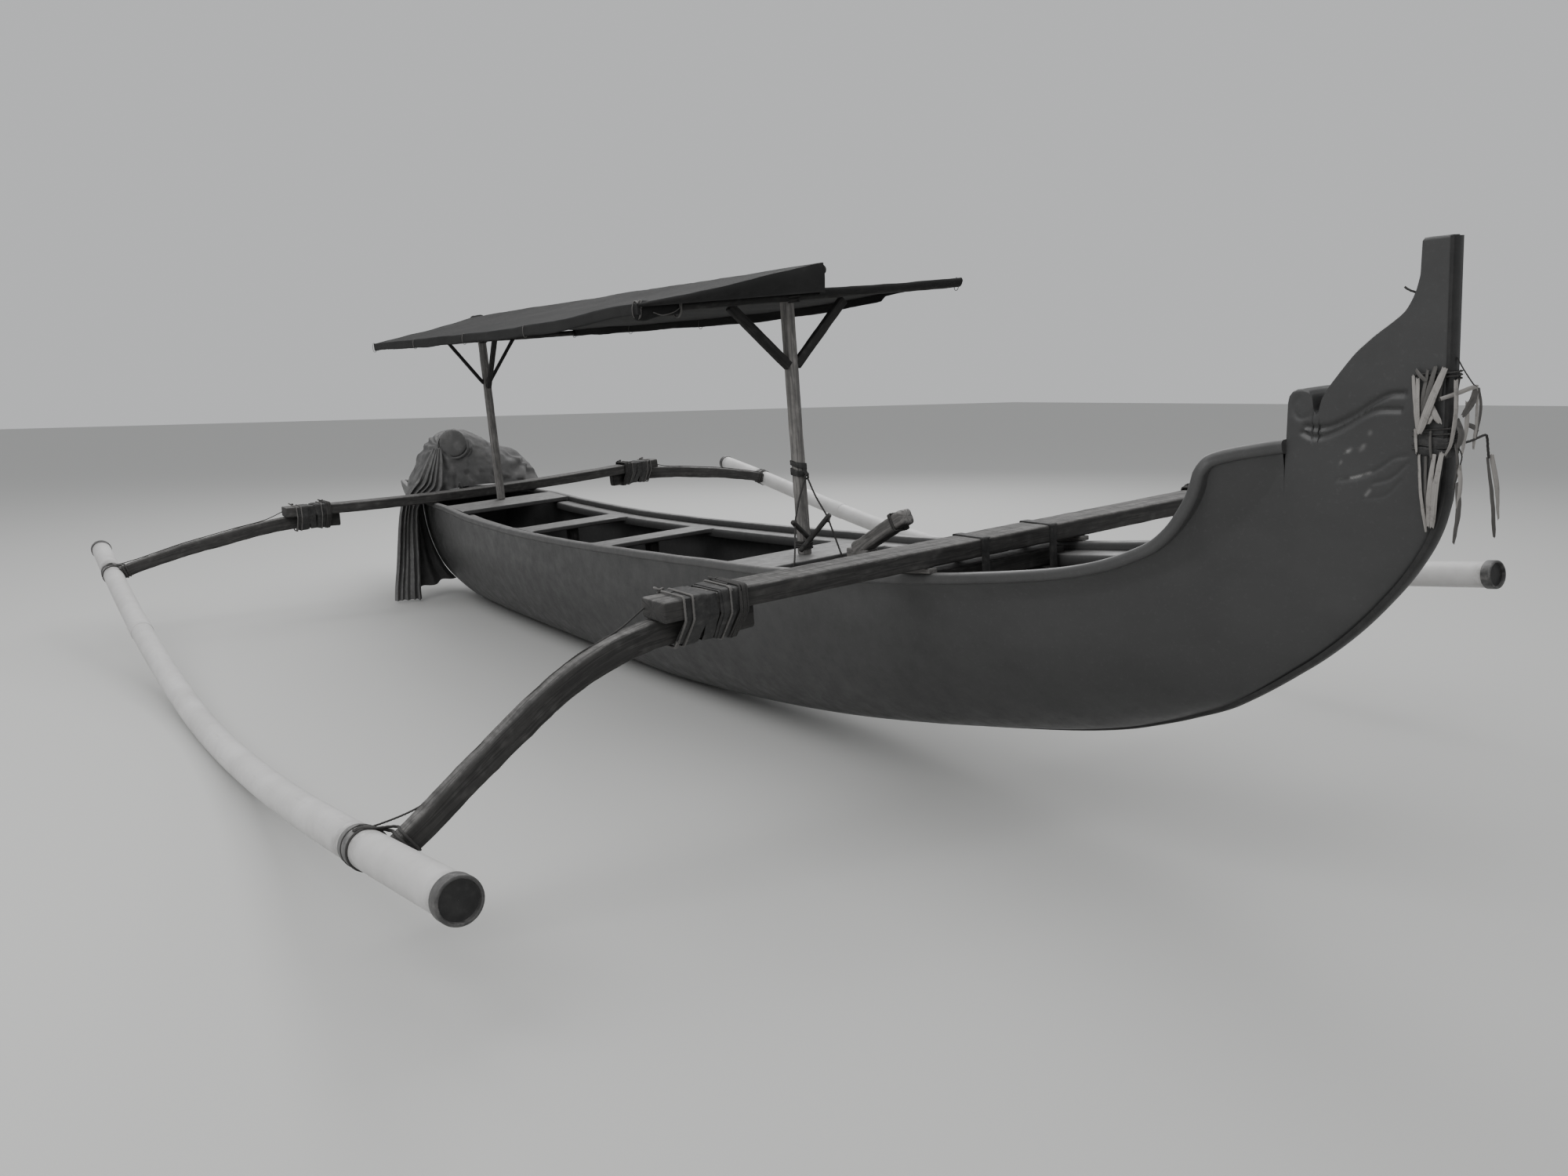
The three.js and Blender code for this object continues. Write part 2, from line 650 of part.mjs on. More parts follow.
function ridgePole() {
  return rod([POLE.back, 0, POLE.z], [POLE.front, 0, POLE.z], POLE_RADIUS, 12);
}

// A strut in the plane of a post: from the post's side up to the bar
function strut(x, side, foot, head, thickness, height) {
  const ys = [POST.y / 2 + GAP, head[0]].map((y) => side * y);
  const z = (y) => foot + ((Math.abs(y) - POST.y / 2) / (head[0] - POST.y / 2)) * (head[1] - foot);
  return barAcross(ys, (y) => ({
    x0: x - thickness / 2, x1: x + thickness / 2, z0: z(y) - height / 2, z1: z(y) + height / 2,
  }));
}

// Long brace from the rear post forward to the ridge pole
function ridgeBrace() {
  const x0 = REAR_POST_X + POST.x / 2 + GAP;
  const half = 15;
  const rise = 1.35;
  const foot = 1560;
  const top = POLE.z - POLE_RADIUS - GAP;
  const x1 = x0 + (top - foot) / rise;
  const ring = [[x0, foot - 26], [x1 - 40, top - 26 - 30], [x1, top], [x1 - 46, top], [x0, foot + 26]];
  const shape = new THREE.Shape(ring.map(([x, z]) => new THREE.Vector2(x, z)));
  const geometry = new THREE.ExtrudeGeometry(shape, { depth: 2 * half, bevelEnabled: false });
  return geometry.rotateX(Math.PI / 2).translate(0, half, 0);
}

// The canopy cloth: [x, starboard hem y and z, ridge z, port shoulder y and z, port hem y and z]
const RIDGE_TOP = POLE.z + POLE_RADIUS + 0.5;
const FRONT_BAR_TOP = (y) => barHeight(BARS.front, y) + BAR_RADIUS + 0.8;
const REAR_BAR_TOP = BARS.rear.z + BAR_RADIUS + 0.8;
const CANOPY = [
  [-2228, -722, REAR_BAR_TOP, RIDGE_TOP, 330, 1976, 722, REAR_BAR_TOP],
  [-2150, -722, REAR_BAR_TOP, RIDGE_TOP, 330, 1976, 722, REAR_BAR_TOP],
  [-1200, -724, 1905, RIDGE_TOP, 300, 1970, 730, 1900],
  [-200, -728, 1899, RIDGE_TOP, 240, 1964, 760, 1895],
  [800, -738, 1908, RIDGE_TOP, 160, 1966, 830, 1906],
  [1680, -758, FRONT_BAR_TOP(-758), RIDGE_TOP, 84, FRONT_BAR_TOP(84) + 6, 905, FRONT_BAR_TOP(905)],
  [1790, -760, FRONT_BAR_TOP(-758), RIDGE_TOP, 76, FRONT_BAR_TOP(76) + 6, 925, FRONT_BAR_TOP(925)],
];

function canopyCloth() {
  const face = (lift) => CANOPY.map(([x, sy, sz, rz, hy, hz, py, pz]) => [
    [sy, sz], [sy / 2, (sz + rz) / 2 - 4], [-26, rz], [26, rz],
    [hy, hz], [(hy + py) / 2, (hz + pz) / 2 + 3], [py, pz],
  ].map(([y, z]) => [x, y, z + lift]));
  return slab(face(0), face(CLOTH));
}

// Motor: an engine on a swivel over the stern deck, its shaft running aft to a propeller
const MOTOR = { x: -2960, deck: 777 - RIM.height, swivel: 846, shaftZ: 915 };
const SHAFT = { radius: 21, stub: 9, back: -3905, droop: 0.02, hub: 64, clearance: 0.5 };
const shaftZ = (x) => MOTOR.shaftZ + (x - MOTOR.x) * SHAFT.droop;

function swivelSocket() {
  const foot = boxBetween([MOTOR.x - 90, -90, MOTOR.deck + GAP], [MOTOR.x + 90, 90, MOTOR.deck + 16]);
  const tube = rod([MOTOR.x, 0, MOTOR.deck + 10], [MOTOR.x, 0, MOTOR.swivel], 36, 16);
  const bore = rod([MOTOR.x, 0, MOTOR.deck + 24], [MOTOR.x, 0, MOTOR.swivel + 20], 20.5, 16);
  return cut(join(foot, tube), bore);
}

function swivelYoke() {
  const pin = rod([MOTOR.x, 0, MOTOR.deck + 30], [MOTOR.x, 0, MOTOR.swivel + 12], 20, 16);
  const plate = boxBetween([MOTOR.x - 120, -84, MOTOR.swivel + 6], [MOTOR.x + 120, 84, MOTOR.swivel + 20]);
  return join(pin, plate);
}

function engineBlock() {
  const low = MOTOR.swivel + 20 + GAP;
  const crankcase = boxBetween([MOTOR.x - 120, -96, low], [MOTOR.x + 96, 96, low + 168]);
  const tank = rod([MOTOR.x, 0, low + 160], [MOTOR.x, 0, low + 330], 112, 24);
  const fins = spread(0, 3, 3).map((i) => boxBetween(
    [MOTOR.x - 60, -150, low + 30 + i * 34], [MOTOR.x + 60, -90, low + 46 + i * 34]));
  const fan = rod([MOTOR.x + 90, 0, low + 90], [MOTOR.x + 150, 0, low + 90], 88, 24);
  return join(crankcase, tank, fan, ...fins);
}

function shaftTube() {
  const from = MOTOR.x - 120 - GAP;
  const flange = rod([from, 0, MOTOR.shaftZ], [from - 26, 0, MOTOR.shaftZ], 44, 16);
  const tube = rod([from - 10, 0, shaftZ(from - 10)], [SHAFT.back, 0, shaftZ(SHAFT.back)], SHAFT.radius, 14);
  const z = shaftZ(SHAFT.back);
  const stub = rod([SHAFT.back + 10, 0, z], [SHAFT.back - SHAFT.hub + 16, 0, z], SHAFT.stub, 14);
  const skeg = boxBetween([SHAFT.back + 40, -4, z - 74], [SHAFT.back + 170, 4, z]);
  return join(flange, tube, stub, skeg);
}

function propeller() {
  const { back, hub, clearance } = SHAFT;
  const z = shaftZ(back);
  const body = rod([back - clearance, 0, z], [back - hub, 0, z], 24, 14);
  const bore = rod([back + 10, 0, z], [back - hub + 12, 0, z], SHAFT.stub + clearance, 14);
  const blades = [0, 1, 2].map((i) => {
    const blade = new THREE.BoxGeometry(9, 54, 82);
    blade.rotateZ(0.55).translate(0, 0, 60).rotateX((i * 2 * Math.PI) / 3);
    return blade.translate(back - hub * 0.55, 0, z);
  });
  return join(cut(body, bore), ...blades);
}

// The cover over the motor: its front flares over the sides, its back lies on the rims.
// [x, half-width of the top, top z, starboard hem y and z, port hem y and z, shoulder drop]
const COVER_ROWS = [
  [-2600, 90, 1010, -470, 800, 470, 800, 26],
  [-2660, 125, 1150, -478, 780, 474, 800, 60],
  [-2730, 150, 1224, -484, 770, 474, 796, 90],
  [-2900, 168, 1246, -480, 790, 440, 786, 100],
  [-3010, 168, 1242, -320, 777 + GAP, 320, 777 + GAP, 100],
  [-3170, 150, 1206, -294, 777 + GAP, 294, 777 + GAP, 84],
  [-3230, 120, 1160, -284, 777 + GAP, 284, 777 + GAP, 60],
];
const COVER_THICKNESS = 12;

function coverSection([x, top, tz, sy, sz, py, pz, drop], inset) {
  const flank = (y, z, side) => [
    [side * (top - inset), tz - inset],
    [side * (top + drop * 0.7 - inset), tz - drop - inset],
    [(side * (top + drop) + y) / 2 - side * inset, (tz - drop + z) / 2 + 40 - inset],
    [y - side * inset, z],
  ];
  return [...flank(sy, sz, -1).reverse(), ...flank(py, pz, 1)].map(([y, z]) => [x, y, z]);
}

// Folds of the cover that hang down the starboard side, nearly to the ground
const FOLDS = { back: -2880, front: -2660, top: 830, hem: -478, foot: 54, out: -560, wave: 12 };

function coverFolds() {
  const { back, front, top, hem, foot, out, wave } = FOLDS;
  const face = (y0, y1) => spread(back, front, 6).map((x, i) => {
    const sway = i % 2 ? wave : -wave;
    return [[x, y0 + sway, foot], [x, y1 + sway * 0.2, top]];
  });
  return slab(face(out - 44, hem - 4), face(out - 22, hem + 8));
}

function motorCover() {
  const face = (inset) => COVER_ROWS.map((row) => coverSection(row, inset));
  return join(slab(face(0), face(COVER_THICKNESS)), coverFolds());
}

// Assembly
const boat = new THREE.Group();

function add(name, geometry, look, parent = boat) {
  const mesh = new THREE.Mesh(geometry, look);
  mesh.name = name;
  parent.add(mesh);
  return mesh;
}

add('hull_stern', hullBlock(STATIONS[0].x, OPEN.back - GAP), LAMINATE);
for (const [label, back, front] of BAYS) add(`hull_bay_${label}`, hullBay(back, front - GAP), LAMINATE);
add('hull_bow', hullBow(), LAMINATE);
const SIDES = [['port', 1], ['starboard', -1]];
for (const [label, side] of SIDES) {
  add(`gunwale_${label}`, rim(side), RIM_LAMINATE);
  add(`ledge_${label}`, notchedLedge(side), RIM_LAMINATE);
}
add('thwart_1_stern', sternThwart(), RIM_LAMINATE);
for (const row of THWARTS) add(row[0], thwart(row), RIM_LAMINATE);
add('floor_boards', floorBoards(), WORN_TIMBER);
add('stanchion_2', stanchion(-940), DARK_TIMBER);
add('stanchion_3', stanchion(165), DARK_TIMBER);

const BEAMS = [['front', FRONT_BEAM, FRONT_KNEE], ['rear', REAR_BEAM, REAR_KNEE]];
for (const [end, beam, rows] of BEAMS) {
  add(`beam_${end}`, beamBar(beam), DARK_TIMBER);
  for (const [label, side] of SIDES) {
    const ring = beam.x + KNEE.offset - 72;
    add(`knee_${end}_${label}`, knee(side, beam, rows), DARK_TIMBER);
    add(`beam_lashing_${end}_${label}`, beamSleeve(side, beam), STRAP);
    add(`float_lashing_${end}_${label}`,
      pipeRing(side, ring - 34, ring + 34, FLOAT_RADIUS + GAP, FLOAT_RADIUS + 11), STRAP);
  }
}
for (const [label, side] of SIDES) {
  add(`float_${label}`, pipe(side, spread(...FLOAT_ENDS, 34), FLOAT_RADIUS), PIPE);
  const [back, front] = FLOAT_ENDS;
  const radius = FLOAT_RADIUS + CAP.extra;
  add(`float_cap_rear_${label}`, pipe(side, [back - CAP.length, back - GAP], radius), PIPE_CAP);
  add(`float_cap_front_${label}`, pipe(side, [front + GAP, front + CAP.length], radius), PIPE_CAP);
  add(`beam_chock_${label}`, beamChock(side), WORN_TIMBER);
}
add('cross_plank', crossPlank(), DARK_TIMBER);
BAND.places.forEach((y, i) => add(`beam_band_${i + 1}`, beamBand(y), STRAP));
add('mooring_bitt', bitt(), WORN_TIMBER);

add('post_front', post(FRONT_POST_X, ledgeTop(FRONT_POST_X + POST.x / 2) + GAP), POST_TIMBER);
add('post_rear', post(REAR_POST_X, sternThwartTop(REAR_POST_X) + GAP + 1), POST_TIMBER);
const FRONT_STRUT_X = FRONT_POST_X + POST.x / 2 - 15;
const REAR_STRUT_X = REAR_POST_X - POST.x / 2 + 12;
for (const [label, side] of SIDES) {
  add(`strut_front_${label}`, strut(FRONT_STRUT_X, side, 1640, [292, 1902], 30, 58), DARK_TIMBER);
  add(`strut_rear_${label}`, strut(REAR_STRUT_X, side, 1596, [232, 1880], 24, 36), DARK_TIMBER);
}
add('ridge_brace', ridgeBrace(), DARK_TIMBER);
add('canopy_bar_front', canopyBar(BARS.front), DARK_TIMBER);
add('canopy_bar_rear', canopyBar(BARS.rear), DARK_TIMBER);
add('ridge_pole', ridgePole(), DARK_TIMBER);
add('canopy_cloth', canopyCloth(), CANVAS);

add('motor_cover', motorCover(), COVER);
add('motor_socket', swivelSocket(), IRON);
add('motor_yoke', swivelYoke(), IRON);
add('engine', engineBlock(), IRON);
add('shaft_tube', shaftTube(), IRON);
add('propeller', propeller(), BRONZE);

// Rest: the boat lies over until its keel and its starboard float both touch the ground
function lowest(mesh, angle) {
  const p = mesh.geometry.getAttribute('position');
  const [c, s] = [Math.cos(angle), Math.sin(angle)];
  let low = Infinity;
  for (let i = 0; i < p.count; i += 1) low = Math.min(low, p.getY(i) * s + p.getZ(i) * c);
  return low;
}

const part = (name) => boat.children.find((m) => m.name === name);
let [flat, steep] = [0, 0.2];
for (let i = 0; i < 40; i += 1) {
  const angle = (flat + steep) / 2;
  if (lowest(part('float_starboard'), angle) > lowest(part('hull_bay_middle'), angle)) flat = angle;
  else steep = angle;
}
const heel = (flat + steep) / 2;
boat.rotation.x = heel;
boat.position.z = -lowest(part('hull_bay_middle'), heel);

// The part's origin is under the middle of its box
const canoe = new THREE.Group();
canoe.add(boat);
const box = new THREE.Box3().setFromObject(canoe, true);
const middle = box.getCenter(new THREE.Vector3());
boat.position.x -= middle.x;
boat.position.y -= middle.y;
boat.position.z -= box.min.z;
canoe.updateMatrixWorld(true);
canoe.userData.rest = { heel, shift: boat.position.toArray() };

export default canoe;
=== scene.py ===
# Looks of the outrigger canoe: finish, cloth, lashings and carved relief around its frame.
# Places are the boat's own millimetres: +X to the bow, +Y to port, +Z up from the keel.
import math

import bmesh
import bpy
import numpy as np
from mathutils import Matrix, Vector, noise

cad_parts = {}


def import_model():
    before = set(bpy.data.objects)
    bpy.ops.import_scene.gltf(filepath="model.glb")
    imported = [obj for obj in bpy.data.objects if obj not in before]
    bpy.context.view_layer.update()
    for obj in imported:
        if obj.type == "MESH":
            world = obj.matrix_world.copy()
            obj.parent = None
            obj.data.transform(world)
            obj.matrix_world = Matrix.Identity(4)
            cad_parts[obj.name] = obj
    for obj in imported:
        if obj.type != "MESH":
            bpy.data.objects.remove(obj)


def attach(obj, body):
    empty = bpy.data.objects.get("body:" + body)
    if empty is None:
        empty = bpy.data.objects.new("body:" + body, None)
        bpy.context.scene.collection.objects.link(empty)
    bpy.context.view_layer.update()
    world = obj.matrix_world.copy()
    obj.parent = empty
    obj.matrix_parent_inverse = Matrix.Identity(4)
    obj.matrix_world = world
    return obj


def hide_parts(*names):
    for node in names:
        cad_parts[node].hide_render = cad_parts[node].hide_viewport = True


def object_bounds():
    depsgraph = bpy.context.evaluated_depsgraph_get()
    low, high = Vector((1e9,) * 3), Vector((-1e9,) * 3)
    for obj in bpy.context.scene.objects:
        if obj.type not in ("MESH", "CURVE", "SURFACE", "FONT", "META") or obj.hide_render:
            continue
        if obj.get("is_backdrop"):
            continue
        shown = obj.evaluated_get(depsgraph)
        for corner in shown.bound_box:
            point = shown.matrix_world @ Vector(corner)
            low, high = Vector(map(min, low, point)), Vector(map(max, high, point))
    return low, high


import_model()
CAD_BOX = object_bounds()

# How the boat lies on the ground: laid over on its keel and starboard float
HEEL = math.radians(4.192669)
SHIFT = np.array([5.0, 45.2341, 0.0])

# Sizes shared with the frame
WALL = 18
RIM = {"width": 44, "height": 32, "inset": 6}
LEDGE = {"width": 104, "thickness": 20, "lip": 46, "lip_thickness": 14, "back": -1886, "front": 3340}
THWARTS = {"thwart_2": (-1050, -828), "thwart_3": (55, 276), "thwart_4_mast": (1500, 1880),
           "thwart_5_bow": (2060, 2240)}
THWART_THICKNESS = 26
STERN_THWART = {"back": -2213, "front": -1890, "thickness": 30}
FLOAT_RADIUS = 57
FLOAT_ENDS = (-3180, 3545)
BEAM = {"width": 150, "height": 65, "half": 1400}
FRONT_BEAM = {"x": 2965, "bottom": 955, "rise": 0}
REAR_BEAM = {"x": -2505, "bottom": 779, "rise": 40}
KNEE = {"width": 72, "depth": 92, "tip": 74, "start": 1040, "lashed": 1380, "offset": -38}
FRONT_KNEE = [(1560, 868), (1716, 800), (1880, 696), (2036, 590), (2160, 502), (2236, 452)]
REAR_KNEE = [(1600, 752), (1800, 722), (2000, 694), (2200, 654), (2330, 626), (2420, 598)]
PLANK = {"back": 2905, "front": 3000, "bottom": 862, "top": 925, "half": 308}
POST = {"x": 48, "y": 46}
FRONT_POST_X = 1701
REAR_POST_X = -2168
POLE = {"z": 2022, "radius": 22, "back": -2235, "front": 1990}
FRONT_BAR = {"x": 1745.3, "from": -748, "to": 950, "z": 1928, "slope": 0.019}
REAR_BAR = {"x": -2212.3, "from": -712, "to": 712, "z": 1892, "slope": 0.0}
BAR_RADIUS = 20
SIDES = {"port": 1, "starboard": -1}

# The hull's sections, from the stern tip to the stem:
# x, keel height, sheer height, half-breadth at the sheer, fullness, crease below sheer, flare
STATIONS = np.array([
    (-4625, 700, 774, 9, 1.2, 52, 0),
    (-4560, 640, 775, 24, 1.2, 50, 0),
    (-4300, 560, 776, 80, 1.3, 60, 0),
    (-4000, 505, 776, 140, 1.4, 60, 0),
    (-3760, 440, 776, 188, 1.5, 60, 0),
    (-3560, 310, 776, 228, 1.6, 60, 0),
    (-3400, 215, 776, 260, 1.7, 60, 0),
    (-3200, 125, 776, 298, 1.8, 60, 0),
    (-2800, 40, 777, 360, 2.0, 60, 0),
    (-2300, 0, 777, 407, 2.2, 60, 2),
    (-1600, 0, 752, 437, 2.3, 60, 4),
    (-900, 0, 744, 445, 2.3, 60, 4),
    (-200, 0, 755, 445, 2.3, 60, 4),
    (420, 0, 775, 442, 2.3, 60, 4),
    (1000, 25, 798, 437, 2.2, 62, 5),
    (1480, 64, 820, 433, 2.2, 66, 8),
    (2080, 132, 851, 427, 2.1, 74, 14),
    (2620, 218, 893, 414, 2.0, 86, 24),
    (3080, 306, 941, 390, 1.9, 95, 34),
    (3400, 375, 980, 352, 1.9, 100, 42),
    (3600, 430, 1014, 320, 1.8, 102, 46),
    (3720, 473, 1045, 299, 1.8, 104, 49),
    (3800, 504, 1076, 274, 1.8, 106, 51),
    (3865, 532, 1110, 251, 1.8, 112, 53),
    (3910, 551, 1152, 234, 1.8, 132, 54),
    (3945, 567, 1202, 220, 1.8, 165, 55),
    (3975, 582, 1264, 206, 1.8, 205, 56),
    (3990, 590, 1320, 198, 1.8, 240, 56),
    (4022, 610, 1360, 182, 1.8, 250, 56),
    (4075, 644, 1377, 160, 1.8, 216, 52),
    (4155, 700, 1392, 124, 1.8, 150, 34),
    (4206, 738, 1399, 96, 1.8, 70, 10),
    (4245, 767, 1404, 84, 1.8, 60, 0),
    (4360, 868, 1412, 72, 1.7, 60, 0),
    (4445, 960, 1416, 58, 1.6, 60, 0),
    (4535, 1080, 1420, 40, 1.5, 60, 0),
    (4585, 1182, 1422, 27, 1.4, 60, 0),
    (4605, 1262, 1423, 22, 1.3, 60, 0),
], float)
HEAD_BACK = 4206
STEM_X = 4605
OPEN = (-2950, 3600)


def world(points):
    """Points in the boat's millimetres as metres on the ground where it rests"""
    p = np.asarray(points, float)
    c, s = math.cos(HEEL), math.sin(HEEL)
    x, y, z = p[..., 0], p[..., 1], p[..., 2]
    return (np.stack([x, y * c - z * s, y * s + z * c], -1) + SHIFT) / 1000.0


def monotone(xs, ys, x):
    """Smooth curve through a table that never swings past its rows"""
    xs, ys, x = np.asarray(xs, float), np.asarray(ys, float), np.asarray(x, float)
    step = np.diff(xs)
    slope = np.diff(ys) / step
    tangent = np.zeros_like(ys)
    same = slope[:-1] * slope[1:] > 0
    w1, w2 = 2 * step[1:] + step[:-1], step[1:] + 2 * step[:-1]
    with np.errstate(divide="ignore", invalid="ignore"):
        mean = (w1 + w2) / (w1 / slope[:-1] + w2 / slope[1:])
    tangent[1:-1] = np.where(same, mean, 0.0)
    tangent[0], tangent[-1] = slope[0], slope[-1]
    i = np.clip(np.searchsorted(xs, x) - 1, 0, len(xs) - 2)
    t = np.clip((x - xs[i]) / step[i], 0, 1)
    h00, h10 = 2 * t**3 - 3 * t**2 + 1, t**3 - 2 * t**2 + t
    h01, h11 = -2 * t**3 + 3 * t**2, t**3 - t**2
    return h00 * ys[i] + h10 * step[i] * tangent[i] + h01 * ys[i + 1] + h11 * step[i] * tangent[i + 1]


def hull_at(x):
    """Keel, sheer, half-breadth, fullness, drop of the crease and flare at x"""
    return [monotone(STATIONS[:, 0], STATIONS[:, k], x) for k in range(1, 7)]


def ramp(value, low, high):
    t = np.clip((np.asarray(value, float) - low) / (high - low), 0, 1)
    return t * t * (3 - 2 * t)


def skin(x, z):
    """Half-breadth of the hull's outer skin"""
    keel, sheer, half, full, drop, flare = hull_at(x)
    crease, waist = sheer - drop, half - flare
    power = 1.4 - 0.45 * ramp(x, 3700, 4120)
    upper = waist + flare * np.clip((z - crease) / drop, 0, 1.4) ** power
    t = np.clip((z - keel) / (crease - keel), 0, 1)
    lower = waist * (1 - (1 - t) ** full) ** (1 / 1.9)
    return np.where(z > crease, upper, lower)


def sheer_at(x):
    return monotone(STATIONS[:, 0], STATIONS[:, 2], x)


def keel_at(x):
    return monotone(STATIONS[:, 0], STATIONS[:, 1], x)


def ledge_top(x):
    return float(sheer_at(x)) - RIM["height"]


# Mesh building
def unit(vectors):
    return vectors / (np.linalg.norm(vectors, axis=-1, keepdims=True) + 1e-12)


def reach_of(path):
    """How far along a path each of its points lies"""
    return np.concatenate([[0], np.cumsum(np.linalg.norm(np.diff(path, axis=0), axis=1))])


def laid(shape, side, top):
    """A flat shape turned into space: its first column runs to the side, its second to the top"""
    return shape[:, :1] * side + shape[:, 1:] * top


def rounded(gap, radius):
    """How far a rounded edge of this radius pulls in, at a distance from the edge"""
    return radius * (1 - np.sqrt(1 - np.clip(1 - np.asarray(gap) / radius, 0, 1) ** 2))


def surface(rows, wrap=False, cap=False):
    """A grid of points as (points, faces, uv); wrap joins last column to first, cap closes the ends"""
    rows = np.asarray(rows, float)
    m, n, _ = rows.shape
    span = np.concatenate([rows, rows[:, :1]], 1) if wrap else rows
    along = np.linalg.norm(np.diff(rows, axis=0), axis=2).mean(1) if m > 1 else np.zeros(0)
    u = np.concatenate([[0], np.cumsum(along)]) / 1000
    v = np.concatenate([[0], np.cumsum(np.linalg.norm(np.diff(span, axis=1), axis=2).mean(0))]) / 1000
    i, j = np.meshgrid(np.arange(m - 1), np.arange(n if wrap else n - 1), indexing="ij")
    i, j = i.ravel(), j.ravel()
    k = (j + 1) % n
    faces = np.stack([i * n + j, (i + 1) * n + j, (i + 1) * n + k, i * n + k], 1).tolist()
    uv = np.stack([np.stack([u[i], v[j]], 1), np.stack([u[i + 1], v[j]], 1),
                   np.stack([u[i + 1], v[j + 1]], 1), np.stack([u[i], v[j + 1]], 1)], 1).tolist()
    points = rows.reshape(-1, 3)
    if cap:
        middles = []
        for base, ring in ((0, rows[0]), ((m - 1) * n, rows[-1])):
            centre = len(points) + len(middles)
            middles.append(ring.mean(0))
            for a in range(n):
                faces.append([base + a, base + (a + 1) % n, centre])
                uv.append([[0, v[a]], [0, v[a + 1] if a + 1 < len(v) else 0], [0.03, v[a]]])
        points = np.concatenate([points, np.array(middles)])
    return points, faces, uv


def closed(rows):
    """A skin over rows of loops, with both ends closed"""
    return surface(rows, wrap=True, cap=True)


def piece(name, parts, look, replaces=(), smooth=40.0, wear=None):
    """One object from surfaces; wear is a function of (places in mm, normals) that gives 0 to 1"""
    points, faces, uv, base = [], [], [], 0
    for p, f, t in parts:
        points.append(p)
        faces.extend([[base + i for i in face] for face in f])
        uv.extend(t)
        base += len(p)
    places = np.concatenate(points)
    mesh = bpy.data.meshes.new(name)
    mesh.from_pydata(world(places).tolist(), [], faces)
    layer = mesh.uv_layers.new(name="UVMap")
    layer.data.foreach_set("uv", np.array([c for face in uv for c in face], np.float32).ravel())
    mesh.update()
    obj = bpy.data.objects.new(name, mesh)
    bpy.context.scene.collection.objects.link(obj)
    outward(mesh)
    mesh.shade_smooth()
    mesh.set_sharp_from_angle(angle=math.radians(smooth))
    paint_wear_and_highlight(mesh, places, wear)
    mesh.materials.append(LOOKS[look])
    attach(obj, "boat")
    if replaces:
        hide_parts(*replaces)
    return obj


def outward(mesh):
    bm = bmesh.new()
    bm.from_mesh(mesh)
    bmesh.ops.recalc_face_normals(bm, faces=bm.faces)
    bm.to_mesh(mesh)
    bm.free()


def paint_wear_and_highlight(mesh, places, wear):
    """Stores how worn each point is, for the materials to read; on the rims and the cover's tail it also
    carries a painted highlight
    """
    values = np.zeros(len(places))
    if wear is not None:
        normals = np.array([v.normal[:] for v in mesh.vertices])
        values = np.clip(wear(places, normals), 0, 1)
    layer = mesh.color_attributes.new("wear", "FLOAT_COLOR", "POINT")
    colours = np.stack([values, values, values, np.ones(len(values))], 1)
    layer.data.foreach_set("color", colours.astype(np.float32).ravel())


def lumps(places, size, seed=0.0):
    """Soft noise from -1 to 1 at each place, with lumps of about this size in mm"""
    offset = Vector((seed * 7.1, seed * 3.3, seed * 1.7))
    flat = np.asarray(places, float).reshape(-1, 3) / size
    values = np.array([noise.noise(Vector(p) + offset) for p in flat])
    return values.reshape(np.asarray(places).shape[:-1])


def resample(points, count):
    """Points spaced evenly along a line of points"""
    points = np.asarray(points, float)
    reach = reach_of(points)
    wanted = np.linspace(0, reach[-1], count)
    return np.stack([np.interp(wanted, reach, points[:, k]) for k in range(3)], 1)


def curve(points, steps=16):
    """A smooth line through the points, with evenly weighted tangents"""
    p = np.asarray(points, float)
    p = np.concatenate([[2 * p[0] - p[1]], p, [2 * p[-1] - p[-2]]])
    out = []
    for i in range(1, len(p) - 2):
        a, b, c, d = p[i - 1], p[i], p[i + 1], p[i + 2]
        for t in np.arange(steps) / steps:
            out.append(0.5 * (2 * b + (c - a) * t + (2 * a - 5 * b + 4 * c - d) * t**2
                              + (3 * b - a - 3 * c + d) * t**3))
    out.append(p[-2])
    return np.array(out)


def frames(path, up=None):
    """Tangent, side and top directions along a path; with up given, the top leans towards it"""
    tangent = unit(np.gradient(np.asarray(path, float), axis=0))
    if up is not None:
        lean = np.broadcast_to(np.asarray(up, float), tangent.shape)
        top = unit(lean - (lean * tangent).sum(1, keepdims=True) * tangent)
    else:
        last = np.array([0, 0, 1.0]) if abs(tangent[0][2]) < 0.9 else np.array([0, 1.0, 0])
        top = np.zeros_like(tangent)
        for i, t in enumerate(tangent):
            last = unit(last - last.dot(t) * t)
            top[i] = last
    return tangent, np.cross(tangent, top), top


def sweep(path, section, up=None):
    """Carries a loop along a path; section is [[side, top], ...] or a function of the step"""
    path = np.asarray(path, float)
    _, side, top = frames(path, up)
    rows = []
    for i, p in enumerate(path):
        shape = np.asarray(section(i) if callable(section) else section, float)
        rows.append(p + laid(shape, side[i], top[i]))
    return closed(rows)


def circle(radius, sides=16):
    a = np.linspace(0, 2 * math.pi, sides, endpoint=False)
    return np.stack([radius * np.cos(a), radius * np.sin(a)], 1)


